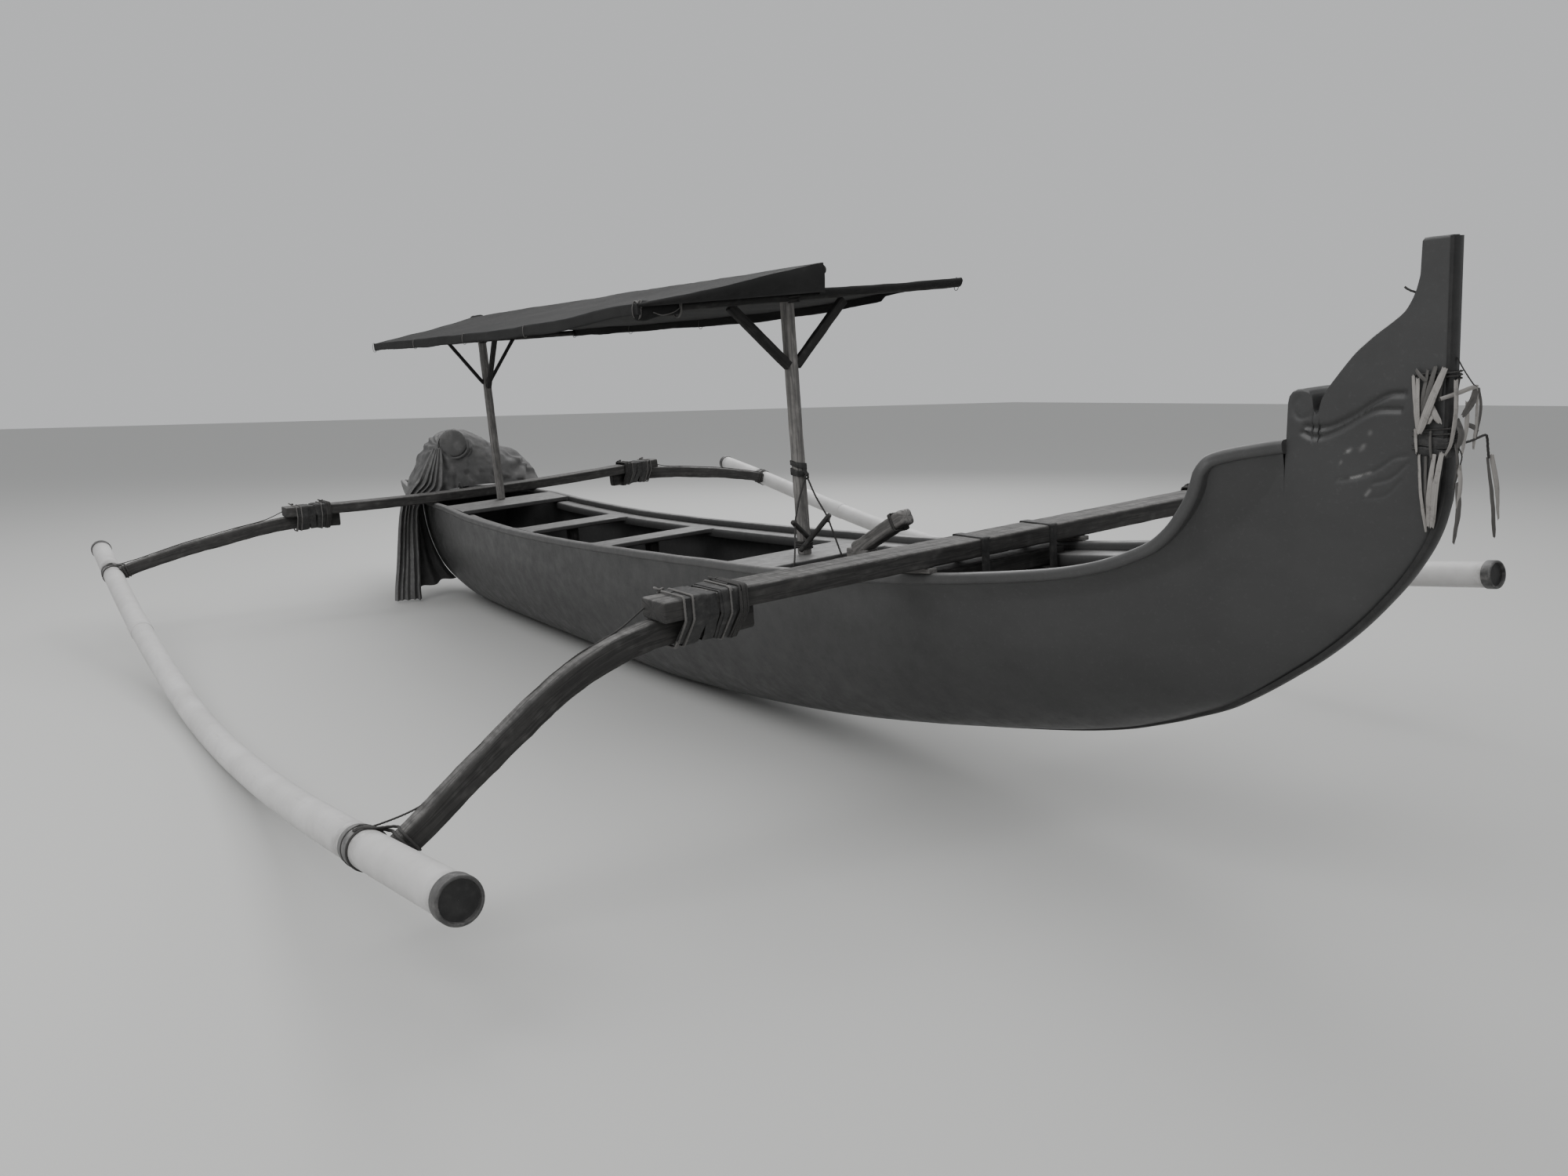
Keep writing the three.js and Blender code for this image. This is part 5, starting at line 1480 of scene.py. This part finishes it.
def canopy_hem(rows, column, side, deep):
    """The rolled hem along one edge of the cloth"""
    hem = []
    for x, y, z in rows[:CLOTH_ROWS, column]:
        height = deep + 3 * math.sin(x / 310 + side) + 1.5 * math.sin(x / 97)
        if side > 0 and x >= 1280:
            height *= 0.55
        thick = 8 + 2.5 * math.sin(x / 130 + 2 * side)
        loop = block(thick * 2, height, thick * 0.9, 3, 5)
        hem.append(np.stack([np.full(len(loop), x), y + side * (3 - thick) + loop[:, 0],
                             z + 3 - height / 2 + loop[:, 1]], 1))
    hem = np.array(hem)
    hem[..., 1] += 1.6 * lumps(hem, 60, 6 + side)
    return piece(f"canopy_hem_{'port' if side > 0 else 'starboard'}", [closed(hem)], "canopy", smooth=60)


def on_front_bar(y, up):
    return np.array([FRONT_BAR["x"] + 4, y, FRONT_BAR["z"] + FRONT_BAR["slope"] * y + up])


def corner_roll():
    """The cloth rolled up round the front bar's starboard end"""
    low, high = -770, -545
    roll = []
    for y in np.linspace(low, high, 46):
        share = (y - low) / (high - low)
        radius = 27 + 6 * math.sin(share * 9) + 9 * math.sin(math.pi * min(share * 1.2, 1))
        radius *= min(1, 0.55 + share * 6, 0.72 + (1 - share) * 5)
        ring = laid(circle(radius, 26), np.array([0.82, 0, 0]), np.array([0, 0, 1.05]))
        roll.append(on_front_bar(y, 10 * share - 9) + ring)
    roll = np.array(roll)
    roll[..., 0] += 2.6 * lumps(roll, 34, 12)
    roll[..., 2] += 2.6 * lumps(roll, 30, 14)
    return piece("canopy_corner_roll", [closed(roll)], "canopy", smooth=60)


def end_wrap():
    """The cloth bunched round the ridge pole's rear end"""
    back, front = -2282, -2126
    wrap = []
    for x in np.linspace(back, front, 30):
        share = (x - back) / (front - back)
        radius = 33 * min(1, 0.5 + share * 5) * min(1, 0.74 + (1 - share) * 3)
        ring = circle(1, 26) * (radius * 1.12, radius)
        wrap.append(np.stack([np.full(26, x), ring[:, 0], POLE["z"] + 4 + ring[:, 1]], 1))
    wrap = np.array(wrap)
    wrap[..., 1:] += 2.4 * lumps(wrap, 34, 16)[..., None] * np.array([1, -1])
    return piece("canopy_end_wrap", [closed(wrap)], "canopy", smooth=60)


def canopy_ties(rows):
    """Cord round the corner roll, and loops that hold the hems"""
    ties = []
    ring = circle(1, 26)
    turns = np.concatenate([ring, ring, ring[:3]])
    for y, radius in ((-748, 33), (-566, 36)):
        centre = on_front_bar(y, -4)
        loop = centre + radius * laid(turns, np.array([1, 0, 0]), np.array([0, 0, 1.12]))
        loop[:, 1] += np.linspace(-4, 4, len(loop))
        knot = [(30, 0, 18), (36, 4, 28), (34, 8, 38), (26, 2, 36), (28, -6, 26), (34, -2, 18), (38, 6, 8)]
        ties += [cord_surface(loop, 2.6), tied(centre + np.array(knot), 2.6, 6)]
    x, z = FRONT_BAR["x"], FRONT_BAR["z"]
    ties.append(tied([(x + 36, -562, z - 14), (x + 38, -600, z - 34), (x + 37, -650, z - 43),
                      (x + 35, -690, z - 30)], 2.4))
    for x in (-2212, -1300, -400, 500, 1745):
        for column, side in ((0, -1), (-1, 1)):
            edge = rows[int(np.argmin(np.abs(rows[:, column, 0] - x))), column]
            loop = [(0, 5, 4), (3, 12, -20), (0, 8, -48), (-3, -6, -52), (0, -14, -30), (3, -10, -4),
                    (0, 4, 6)]
            ties.append(tied(edge + np.array(loop) * (1, side, 1), 1.8, 6))
    piece("canopy_ties", ties, "twine", smooth=60)


def canopy_lashings():
    """Cord that binds the ridge pole and both bars to their posts"""
    cords = []
    width, radius = POST["y"] / 2, POLE["radius"]
    places = ((FRONT_POST_X, FRONT_BAR, 1), (REAR_POST_X, REAR_BAR, -1))
    outline = [(-width, POLE["z"] - 60), (width, POLE["z"] - 60), (-radius, POLE["z"] + 8),
               (radius, POLE["z"] + 8)]
    for x, _, sign in places:
        path = wind(lambda a, b, c: (x + sign * c, a, b), outline, 3.5, -18, 14, 4.1, 0.1, 0.5)
        cords.append(cord_surface(path, 3.6))
    for x, bar, sign in places:
        ends = sorted((x - sign * POST["x"] / 2, bar["x"] + sign * BAR_RADIUS * 0.7))
        path = wind(lambda a, b, c: (a, b, bar["z"] + c), corners(*ends, -width, width), 3.5, -24, 26, 4.2,
                    0.3, 0.5)
        cords.append(cord_surface(path, 3.4))
    piece("canopy_lashings", cords, "cord", smooth=60)


def make_canopy():
    rows = canopy_cloth_rows()
    cloth = piece("canopy", [sheet_solid(rows, CLOTH)], "canopy", replaces=("canopy_cloth",),
                  wear=canopy_wear, smooth=60)
    extras = [canopy_hem(rows, 0, -1, 50), canopy_hem(rows, -1, 1, 46), corner_roll(), end_wrap()]
    canopy_ties(rows)
    canopy_lashings()


# Cover over the motor
HOOD_ROWS = [  # x, then (y, z) from the starboard hem over the crown to the port hem
    (-2606, [(-478, 792), (-400, 806), (-300, 828), (-190, 846), (-70, 852), (60, 850), (190, 838),
             (330, 816), (470, 792)]),
    (-2640, [(-482, 786), (-408, 870), (-312, 950), (-205, 1004), (-90, 1016), (40, 1010), (180, 968),
             (330, 894), (482, 800)]),
    (-2690, [(-484, 780), (-420, 915), (-334, 1050), (-232, 1140), (-118, 1166), (20, 1150), (190, 1066),
             (362, 950), (500, 812)]),
    (-2760, [(-486, 776), (-418, 945), (-318, 1112), (-222, 1202), (-112, 1234), (36, 1216), (206, 1112),
             (410, 988), (524, 826)]),
    (-2850, [(-486, 778), (-408, 960), (-306, 1126), (-214, 1216), (-96, 1247), (50, 1232), (214, 1128),
             (440, 1006), (532, 836)]),
    (-2940, [(-462, 782), (-380, 955), (-290, 1118), (-204, 1212), (-84, 1248), (58, 1236), (212, 1136),
             (412, 1000), (500, 830)]),
    (-3020, [(-344, 780), (-322, 930), (-262, 1090), (-190, 1196), (-66, 1242), (62, 1234), (204, 1140),
             (338, 978), (386, 800)]),
    (-3120, [(-308, 779), (-296, 896), (-250, 1052), (-172, 1166), (-54, 1222), (56, 1216), (182, 1116),
             (288, 960), (322, 790)]),
    (-3196, [(-294, 779), (-284, 862), (-238, 1000), (-158, 1116), (-46, 1182), (50, 1174), (164, 1078),
             (258, 926), (300, 784)]),
    (-3230, [(-286, 780), (-278, 846), (-232, 962), (-150, 1082), (-42, 1150), (48, 1144), (156, 1046),
             (246, 896), (292, 783)]),
]
GATHER = np.array([-2665, -232, 1150.0])
PORT_GATHER = np.array([-2800, 456, 998])
DRUM = {"place": np.array([-2757.0, -124, 1160]), "way": unit(np.array([0.985, -0.13, 0.11])), "radius": 97}


def hood_rows():
    """The cover's cloth: a smooth table of rows, then lumps, pleats, hanging folds and creases"""
    table = np.array([[(x, y, z) for y, z in line] for x, line in HOOD_ROWS], float)
    across = np.array([curve(row, 14) for row in table])
    xs = np.concatenate([np.linspace(-2606, -2700, 26), np.linspace(-2708, -3230, 74)])
    cloth = np.zeros((len(xs), across.shape[1], 3))
    cloth[..., 0] = xs[:, None]
    for column in range(across.shape[1]):
        for k in (1, 2):
            cloth[:, column, k] = monotone(-table[:, 0, 0], across[:, column, k], -xs)
    x, y, z = np.moveaxis(cloth, -1, 0)
    n = unit(np.cross(np.gradient(cloth, axis=1), np.gradient(cloth, axis=0)))
    facing = np.sign((n * (cloth - (0, 0, 950)) * (0, 1, 1)).sum(2, keepdims=True))
    n *= np.where(facing == 0, 1, facing)
    return cloth + n * (hood_relief(cloth, x, y, z) + hood_folds(cloth, y, z))[..., None]


def hood_relief(cloth, x, y, z):
    """Soft lumps, sharp ridges, the pleats round the gather and the folds that hang at the hems"""
    soft = 9 * lumps(cloth, 230, 21) + 5.5 * lumps(cloth * (1, 1, 0.5), 95, 22)
    ridge = (1 - np.abs(lumps(cloth * (1.0, 0.55, 0.8), 150, 25))) ** 4
    fine = (1 - np.abs(lumps(cloth, 62, 27))) ** 5
    gap = cloth - GATHER
    far = np.linalg.norm(gap * (0.7, 1, 1), axis=2)
    angle = np.arctan2(gap[..., 2], -gap[..., 1] + 0.35 * np.abs(gap[..., 0]))
    pleats = np.sin(13 * angle + 0.8 * lumps(cloth, 120, 31)) * ramp(far, 18, 90) * (1 - ramp(far, 200, 420))
    drape = np.sin((x + 2600) / 34 + 2.0 * lumps(cloth, 200, 33)) * (1 - ramp(z, 800, 1010))
    sag = 9 * pleats * (1 - ramp(y, -260, -120)) + 5.5 * drape * ramp(np.abs(y), 200, 330)
    hang = (1 - np.abs(lumps(cloth * (1.0, 1.0, 0.28), 105, 35))) ** 5 * (1 - ramp(z, 1060, 1200))
    calm = 1 - 0.7 * ramp(y, 180, 300)
    return np.maximum((soft + 11 * ridge + 6 * fine + 11 * hang - 8) * calm + sag, -9)


def hood_folds(cloth, y, z):
    """The long fold and the fan of pleats on the port side, and the crease beside the crown"""
    fold = np.exp(-(((y - 330) * 0.9 + (z - 1010)) / 16) ** 2) * ramp(y, 240, 330)
    crease = np.exp(-((z - (1112 + 0.06 * y)) / 7) ** 2) * ramp(y, -20, 60) * (1 - ramp(y, 150, 230))
    gap = cloth - PORT_GATHER
    far = np.linalg.norm(gap * (0.5, 1, 1), axis=2)
    angle = np.arctan2(-gap[..., 2], -gap[..., 1])
    fan = np.sin(8.5 * angle + 0.5) * ramp(far, 12, 80) * (1 - ramp(far, 170, 270)) * ramp(y, 180, 260)
    return 13 * fold + 13 * fan - 6 * crease


def cover_wear(places, normals):
    bright = ramp(np.abs(lumps(places, 90, 41)), 0.1, 0.5)
    return 0.35 * bright + 0.25 * ramp(normals[:, 2], 0.6, 0.95)


def make_crown():
    """The tied end of the cover: a puckered drum of cloth"""
    place, way, r = DRUM["place"], DRUM["way"], DRUM["radius"]
    profile = [(-40, r - 14), (-12, r - 4), (14, r - 1), (40, r + 1), (62, r), (76, r - 2), (80, r - 5),
               (84, r - 2), (92, r + 1), (98, r), (102, r - 5), (104, r - 14), (105, r - 30), (104, r * 0.45),
               (104.5, r * 0.2), (104.5, 0.6)]
    points, faces, uv = revolve(place, way, profile, 64)
    off = points - place
    radial = off - (off @ way)[:, None] * way
    reach = np.linalg.norm(radial, axis=1)
    angle = np.arctan2(radial[:, 2], radial[:, 1])
    pucker = 2.4 * np.sin(22 * angle + 3 * lumps(points, 60, 51)) * ramp(reach, 50, 95)
    swell = (pucker * 0.7 + 3 * lumps(points, 70, 53)) * ramp(reach, 30, 80) / np.maximum(reach, 1)
    points = points + way * (2.6 * lumps(points, 52, 52) + pucker * 0.35)[:, None] + radial * swell[:, None]
    return piece("cover_crown", [(points, faces, uv)], "cover", wear=cover_wear, smooth=70)


def make_cover_ends():
    """The cord round the crown, and the rolls of cloth beside it"""
    place, way, r = DRUM["place"], DRUM["way"], DRUM["radius"]
    top = unit(np.array([0, 0, 1.0]) - way[2] * way)
    side = np.cross(way, top)
    ring = np.array([place + way * (80 + 3 * math.sin(a * 2.3))
                     + (r - 1) * (math.cos(a) * side + math.sin(a) * top)
                     for a in np.linspace(-0.2, 2 * math.pi + 0.5, 90)])
    tail = ring[-1] + np.array([(0, 0, 0), (6, -14, -20), (2, -22, -58), (-4, -18, -92)])
    cord = piece("cover_cord", [cord_surface(ring, 3.4), tied(tail, 3.0)], "cord", smooth=60)
    folds = []
    for radius, start, stop, size, out in ((r + 16, 3.4, 6.35, 15, 88), (r + 44, 4.2, 6.0, 12, 74)):
        path = np.array([place + way * out + radius * (-math.cos(a) * side + math.sin(a) * top)
                         for a in np.linspace(start, stop, 36)])
        share = np.linspace(0, 1, len(path))

        def section(i, size=size, share=share):
            grow = size * math.sin(math.pi * min(max(share[i], 0.02), 0.98)) ** 0.6
            return circle(1, 14) * (grow * 1.1, grow * 0.75)

        folds.append(sweep(path, section))
    tab = curve([(-2600, -168, 846), (-2592, -150, 886), (-2597, -132, 848)], 8)
    folds.append(sweep(tab, lambda i: circle(1, 10) * (9 - 5 * math.sin(math.pi * i / (len(tab) - 1)), 4)))
    return [cord, piece("cover_folds", folds, "cover", wear=cover_wear, smooth=70)]


def make_hood():
    hood = piece("cover_hood", [sheet_solid(hood_rows(), CLOTH)], "cover", replaces=("motor_cover",),
                 wear=cover_wear, smooth=70)
    make_crown()
    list(make_cover_ends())


TAIL = [(-2652, -262, 1142), (-2622, -298, 1062), (-2604, -338, 965), (-2604, -368, 897), (-2636, -436, 842),
        (-2680, -492, 780), (-2700, -514, 700), (-2708, -530, 600), (-2716, -546, 460), (-2726, -564, 300),
        (-2738, -584, 150), (-2742, -592, 62)]
TAIL_WIDTH = ((62, 300, 740, 812, 897, 1060, 1142), (186, 160, 116, 124, 176, 104, 54))


def make_tail():
    """The gathered side of the cover, hanging in tight pleats from the crown nearly to the ground"""
    spine = resample(curve(TAIL, 16), 100)
    share = np.linspace(0, 1, len(spine))
    tangent = unit(np.gradient(spine, axis=0))
    across = np.linspace(-0.5, 0.5, 121)
    rows = []
    for p, way, s in zip(spine, tangent, share):
        width = float(np.interp(p[2], *TAIL_WIDTH))
        wide = np.array([0.22, 0.97, 0.0])
        wide = unit(wide - wide.dot(way) * way)
        out = np.cross(wide, way)
        if out[0] < 0:
            out = -out
        phase = 2 * math.pi * (4.6 * across + 0.14 * np.sin(9 * across + s * 2.2) + 0.05 * s)
        deep = (7 + 13 * ramp(s, 0.05, 0.35)) * (1 - 0.2 * s)
        crest = 1 - 2 * np.abs(np.sin(phase / 2)) ** 0.75
        swell = 1 + 0.3 * np.sin(5.1 * across + 6 * s)
        rows.append(p + wide * (across * width + 4 * np.sin(phase))[:, None]
                    + out * (deep * crest * swell)[:, None])
    rows = np.array(rows)
    rows = rows + (4.5 * lumps(rows * (1, 1, 0.35), 90, 61))[..., None] * np.array([0.9, -0.3, 0])
    rows[..., 2] += ramp(share, 0.93, 1.0)[:, None] * 14 * lumps(rows * (1, 1, 0), 60, 63)
    # The pleats facing the camera are painted lighter: a painted highlight
    tail = piece("cover_tail", [sheet_solid(rows, SKIRT)], "cover", wear=tail_pleat_highlight, smooth=75)


# Pleat faces turned towards the camera take the pale dust colour: a painted highlight on the pleat crests,
# over a light even dusting
def tail_pleat_highlight(places, normals):
    facing = normals @ np.array([0.93, -0.36, 0.0])
    return 0.85 * ramp(facing, 0.55, 0.95) + 0.1


def make_flap():
    """The skirt behind the pleats, hanging from the hem against the hull's flank"""
    top = 812
    down = np.linspace(0, 1, 80)
    along = np.linspace(0, 1, 90)
    loose = 1 - ramp(along, 0.7, 0.86)
    rows = []
    for s, free in zip(along, loose):
        low = 128 + 26 * s + 8 * math.sin(s * 13)
        z = top + (low - top) * down
        x = -2772 - 118 * s
        hug = skin(np.full_like(z, x), np.minimum(z, 770)) + 5
        y = 500 + 22 * ramp(top - z, 100, 600)
        y = y + (np.minimum(hug, y - 10) - y) * min(s / 0.86, 1)
        fold = (6 + 16 * ramp(top - z, 40, 260)) * np.sin(s * 17 + 0.9 * np.sin(z / 130)) * free
        rows.append(np.stack([x + fold, -y, z], 1))
    rows = np.array(rows)
    crumple = 7 * lumps(rows * (1, 1, 0.7), 85, 71) + 5 * (1 - np.abs(lumps(rows, 60, 73))) ** 4
    rows[..., 0] += crumple * loose[:, None]
    # The flap is drawn in the darker copy of the cover cloth: painted shade for the hull's shadow
    flap = piece("cover_flap", [sheet_solid(rows, SKIRT)], "cover_painted_shade", smooth=75)


make_canopy()
make_hood()
make_tail()
make_flap()


# Ropes at the front post, and dry leaf strips tied round the stem
def make_post_ropes():
    outline = corners(-POST["x"] / 2, POST["x"] / 2, -POST["y"] / 2, POST["y"] / 2)

    def place(a, b, c):
        return (FRONT_POST_X + a, b, c)

    straps = []
    for start, stop, turns, phase in (
            (1232, 1168, 1.5, 0.56), (1214, 1160, 1.5, 0.06), (1178, 1158, 1.2, 0.4)):
        path = wind(place, outline, 2.2, start, stop, turns, phase, growth=1.0)
        straps.append(strip(path, 20, 3.4, (0, 0, 1)))
    piece("post_strap", straps, "strap", wear=edge_wear, smooth=50)
    deck = ledge_top(1884)
    knot = np.array((FRONT_POST_X + POST["x"] / 2 + 8, 14, 1150.0))
    base = np.array((1742, -30, 836.0))
    cords = [tied(knot + np.array([(0, -6, 16), (8, 4, 6), (4, 8, -8), (-2, -4, -10), (8, -8, 2), (10, 4, 14),
                                   (2, 10, 4)]), 5.2),
             tied([knot + (4, -6, -6), (1742, -34, 1060), (1762, -78, 968), (1766, -84, 948),
                   (1806, -116, 884), (1884, -176, deck + 10), (1890, -184, deck - 6),
                   (1886, -186, deck - 30)], 4.4, 12),
             tied([knot + (6, 4, -6), (1784, 24, 1064), (1848, 38, 972), (1852, 38, 962), (1868, 52, 892),
                   (1886, 66, deck + 10), (1890, 68, deck - 6), (1886, 66, deck - 30)], 4.4, 12),
             cord_surface(wind(place, outline, 5, 826, 862, 3.3, 0.3, 0.6), 4.6),
             tied(base + np.array([(0, 0, 0), (12, -12, 12), (10, 8, 26), (-4, 14, 18), (6, -4, 4),
                                   (16, 10, 8)]), 6.0)]
    turns = np.linspace(0, 4 * math.pi, 30)
    ring = np.stack([9 * np.cos(turns), 5 * np.sin(turns), 13 * np.sin(turns)], 1)
    cords += [cord_surface(ring + end, 3.8) for end in ((1763, -82, 956), (1850, 38, 966))]
    piece("post_cords", cords, "cord", smooth=60)
    sticks = []
    for start, stop, radius in (
            ((1766, -98, 966), (1744, 8, 868), 10.5), ((1856, 46, 986), (1738, -48, 822), 11)):
        sticks.append(hewn(spaced(start, stop, 9, 6), radius * 2, radius * 2, radius * 0.92, 1.6, radius,
                           up=(1, 0, 0.3), straight=2))
    piece("post_sticks", sticks, "beam", wear=edge_wear, smooth=60)


def ribbon(points, width, facing, curl, twist):
    """A dry leaf strip along points, with torn ends; facing is the way its face looks"""
    path = resample(curve(points, 10), 25)
    tangent = unit(np.gradient(path, axis=0))
    wide = unit(np.cross(tangent, np.asarray(facing, float)))
    out = np.cross(wide, tangent)
    s = np.linspace(0, 1, len(path))
    c, t = (f(twist * (s - 0.5))[:, None] for f in (np.cos, np.sin))
    wide, out = wide * c + out * t, out * c - wide * t
    v = np.linspace(-0.5, 0.5, 7)
    half = width * (0.82 + 0.18 * np.sin(math.pi * s)) * (1 - 0.35 * ramp(s, 0.93, 1))
    grid = path[:, None] + wide[:, None] * (v[None, :, None] * half[:, None, None]) \
        + out[:, None] * ((curl * width * (1 - 4 * v**2))[None, :, None])
    grid = grid + (1.6 * lumps(grid, 26, width))[..., None] * out[:, None]
    torn = np.zeros(grid.shape)
    torn[-1] = tangent[-1] * (16 * np.abs(lumps(grid[-1] * 3, 5, width)))[:, None]
    torn[0] = -tangent[0] * (10 * np.abs(lumps(grid[0] * 3, 5, width + 2)))[:, None]
    return sheet_solid(grid + torn, 1.1)


def side_y(x, z, gap):
    return -(float(head_half(np.array([float(x)]), np.array([float(z)]))[0]) + gap)


def side_strip(start, stop, width, curl, gaps, sign=1, twist=0.5):
    """A leaf strip against the head's side; gaps are its distances at the top, middle and foot"""
    middle = ((start[0] + stop[0]) / 2, (start[1] + stop[1]) / 2)
    points = [(x, sign * side_y(x, z, gap), z) for (x, z), gap in zip((start, middle, stop), gaps)]
    return ribbon(points, width, (0, -sign, 0.1), curl, twist * math.sin(start[0]))


# Leaf strips on the head's starboard side: top and foot (x, z), then width, gap, curl and lean
PALE_STRIPS = [
    ((4608, 1576), (4556, 1424), 19, 15, 0.16, 3), ((4530, 1558), (4545, 1424), 9, 6, 0.2, 1),
    ((4542, 1552), (4549, 1430), 10, 8, 0.16, 2), ((4584, 1470), (4574, 1446), 13, 12, 0.2, 2),
    ((4580, 1484), (4600, 1447), 15, 13, 0.22, 2), ((4587, 1368), (4573, 1190), 13, 9, 0.16, 2),
    ((4607, 1372), (4582, 1188), 16, 14, 0.16, 2), ((4551, 1364), (4566, 1178), 8, 7, 0.18, 1),
    ((4540, 1428), (4546, 1374), 7, 8, 0.3, 1)]
DIM_STRIPS = [
    ((4582, 1580), (4556, 1446), 14, 8, 0.14, 2), ((4564, 1572), (4553, 1480), 9, 6, 0.14, 2),
    ((4538, 1574), (4562, 1548), 9, 9, 0.12, 2), ((4600, 1564), (4592, 1500), 8, 5, 0.2, 1),
    ((4566, 1362), (4569, 1204), 7, 5, 0.18, 1), ((4576, 1424), (4580, 1362), 6, 9, 0.3, 1)]
# The same on the port side: top and foot, then width and gap
PORT_STRIPS = [
    ((4604, 1560), (4570, 1420), 17, 9), ((4576, 1552), (4558, 1404), 11, 7),
    ((4600, 1380), (4578, 1200), 14, 8), ((4572, 1372), (4570, 1236), 9, 6),
    ((4544, 1548), (4550, 1430), 9, 6)]
# Strips that hang in front of the stem: points, then width and twist
PALE_DANGLERS = [
    ([(4610, -52, 1506), (4634, -30, 1516), (4642, 10, 1524), (4640, 50, 1527)], 11, 0.2),
    ([(4640, -44, 1548), (4643, -46, 1470), (4634, -46, 1400), (4622, -46, 1372)], 12, 0.4),
    ([(4638, 14, 1492), (4642, 6, 1430), (4640, -6, 1374)], 12, 0.5),
    ([(4640, 50, 1524), (4644, 46, 1450), (4640, 44, 1380)], 9, -0.4),
    ([(4640, -16, 1340), (4646, -20, 1290), (4643, -26, 1230)], 13, 0.5),
    ([(4642, 126, 1350), (4652, 138, 1270), (4650, 156, 1190)], 14, 0.6)]
DIM_DANGLERS = [
    ([(4640, 58, 1520), (4646, 60, 1470), (4640, 58, 1410)], 8, 0.6),
    ([(4640, 44, 1516), (4644, 22, 1490), (4640, -8, 1462)], 20, 0.3),
    ([(4626, -10, 1452), (4640, -14, 1420), (4636, -16, 1386)], 18, 0.2),
    ([(4636, 24, 1436), (4642, 40, 1428), (4640, 60, 1418)], 12, 0.3),
    ([(4641, -24, 1300), (4646, -24, 1230), (4642, -34, 1156)], 15, 0.5),
    ([(4640, 112, 1346), (4648, 124, 1250), (4644, 152, 1142)], 11, -0.5),
    ([(4632, -22, 1392), (4638, -20, 1340), (4634, -26, 1290)], 8, 0.3)]


def make_leaves():
    pale, dim = ([side_strip(a, b, width, curl, (gap, gap + 2 * lean, gap + lean))
                  for a, b, width, gap, curl, lean in rows] for rows in (PALE_STRIPS, DIM_STRIPS))
    for strips, rows in ((pale, PALE_DANGLERS), (dim, DIM_DANGLERS)):
        strips += [ribbon(points, width, (1, -0.35, 0.05), 0.14, twist) for points, width, twist in rows]
    pale += [side_strip(a, b, width, 0.16, (gap, gap + 4, gap + 1), -1, 0.4)
             for a, b, width, gap in PORT_STRIPS]
    piece("leaf_strips", pale, "leaf", smooth=60)
    piece("leaf_strips_dim", dim, "old_leaf", smooth=60)


def round_head(angle, centre, reach, z, gap, corner):
    """A place on a tie round the head, at an angle from its front"""
    x = centre + reach * math.cos(angle)
    half = -side_y(min(x, STEM_X - 1), z, gap)
    return x, half * max(-1, min(1, math.sin(angle) / corner))


def make_head_ties():
    """Cords and bands that hold the leaf strips, and the twig in the neck"""
    cords = []
    for middle, turns, spread in ((1558, 2.1, 9), (1420, 2.2, 14), (1386, 2.2, 12)):
        path = []
        for s in np.linspace(0, 1, int(64 * turns)):
            z = middle + spread * (s - 0.5) * 2
            path.append((*round_head(2 * math.pi * turns * s, 4574, 46, z, 3, 0.35), z))
        cords.append(cord_surface(np.array(path), 2.6))
    for points, radius in (
            ([(4617, 0, 1600), (4626, 14, 1570), (4640, 30, 1536), (4642, 44, 1526)], 1.8),
            ([(4628, -10, 1392), (4640, 30, 1396), (4642, 88, 1404), (4643, 100, 1398), (4642, 108, 1370),
              (4642, 114, 1344)], 3.4),
            ([(4634, -14, 1388), (4642, -10, 1364), (4641, -14, 1342)], 1.8),
            ([(4524, 0, 1752), (4514, -10, 1761), (4503, -20, 1768), (4494, -24, 1776)], 3)):
        cords.append(tied(points, radius))
    piece("leaf_ties", cords, "cord", smooth=60)
    bands = []
    for z, width in ((1398, 26), (1372, 20)):
        path = [(*round_head(a, 4578, 40, z, 4, 0.4), z + 4 * math.sin(a * 2))
                for a in np.linspace(-0.1, 2 * math.pi + 0.3, 70)]
        bands.append(strip(np.array(path), width, 2.0, (0, 0, 1)))
    piece("leaf_band", bands, "strap", wear=edge_wear, smooth=50)


def finish_nodes():
    """The motor's own parts keep their shape and get their metals"""
    for name, look in (("motor_socket", "iron"), ("motor_yoke", "iron"), ("engine", "iron"),
                       ("shaft_tube", "iron"), ("propeller", "bronze")):
        for place in bpy.data.objects[name].material_slots:
            place.material = LOOKS[look]


make_post_ropes()
make_leaves()
make_head_ties()
finish_nodes()

lowest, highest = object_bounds()
({"cad": [list(map(float, p)) for p in CAD_BOX],
           "visual": [list(map(float, p)) for p in (lowest, highest)]})
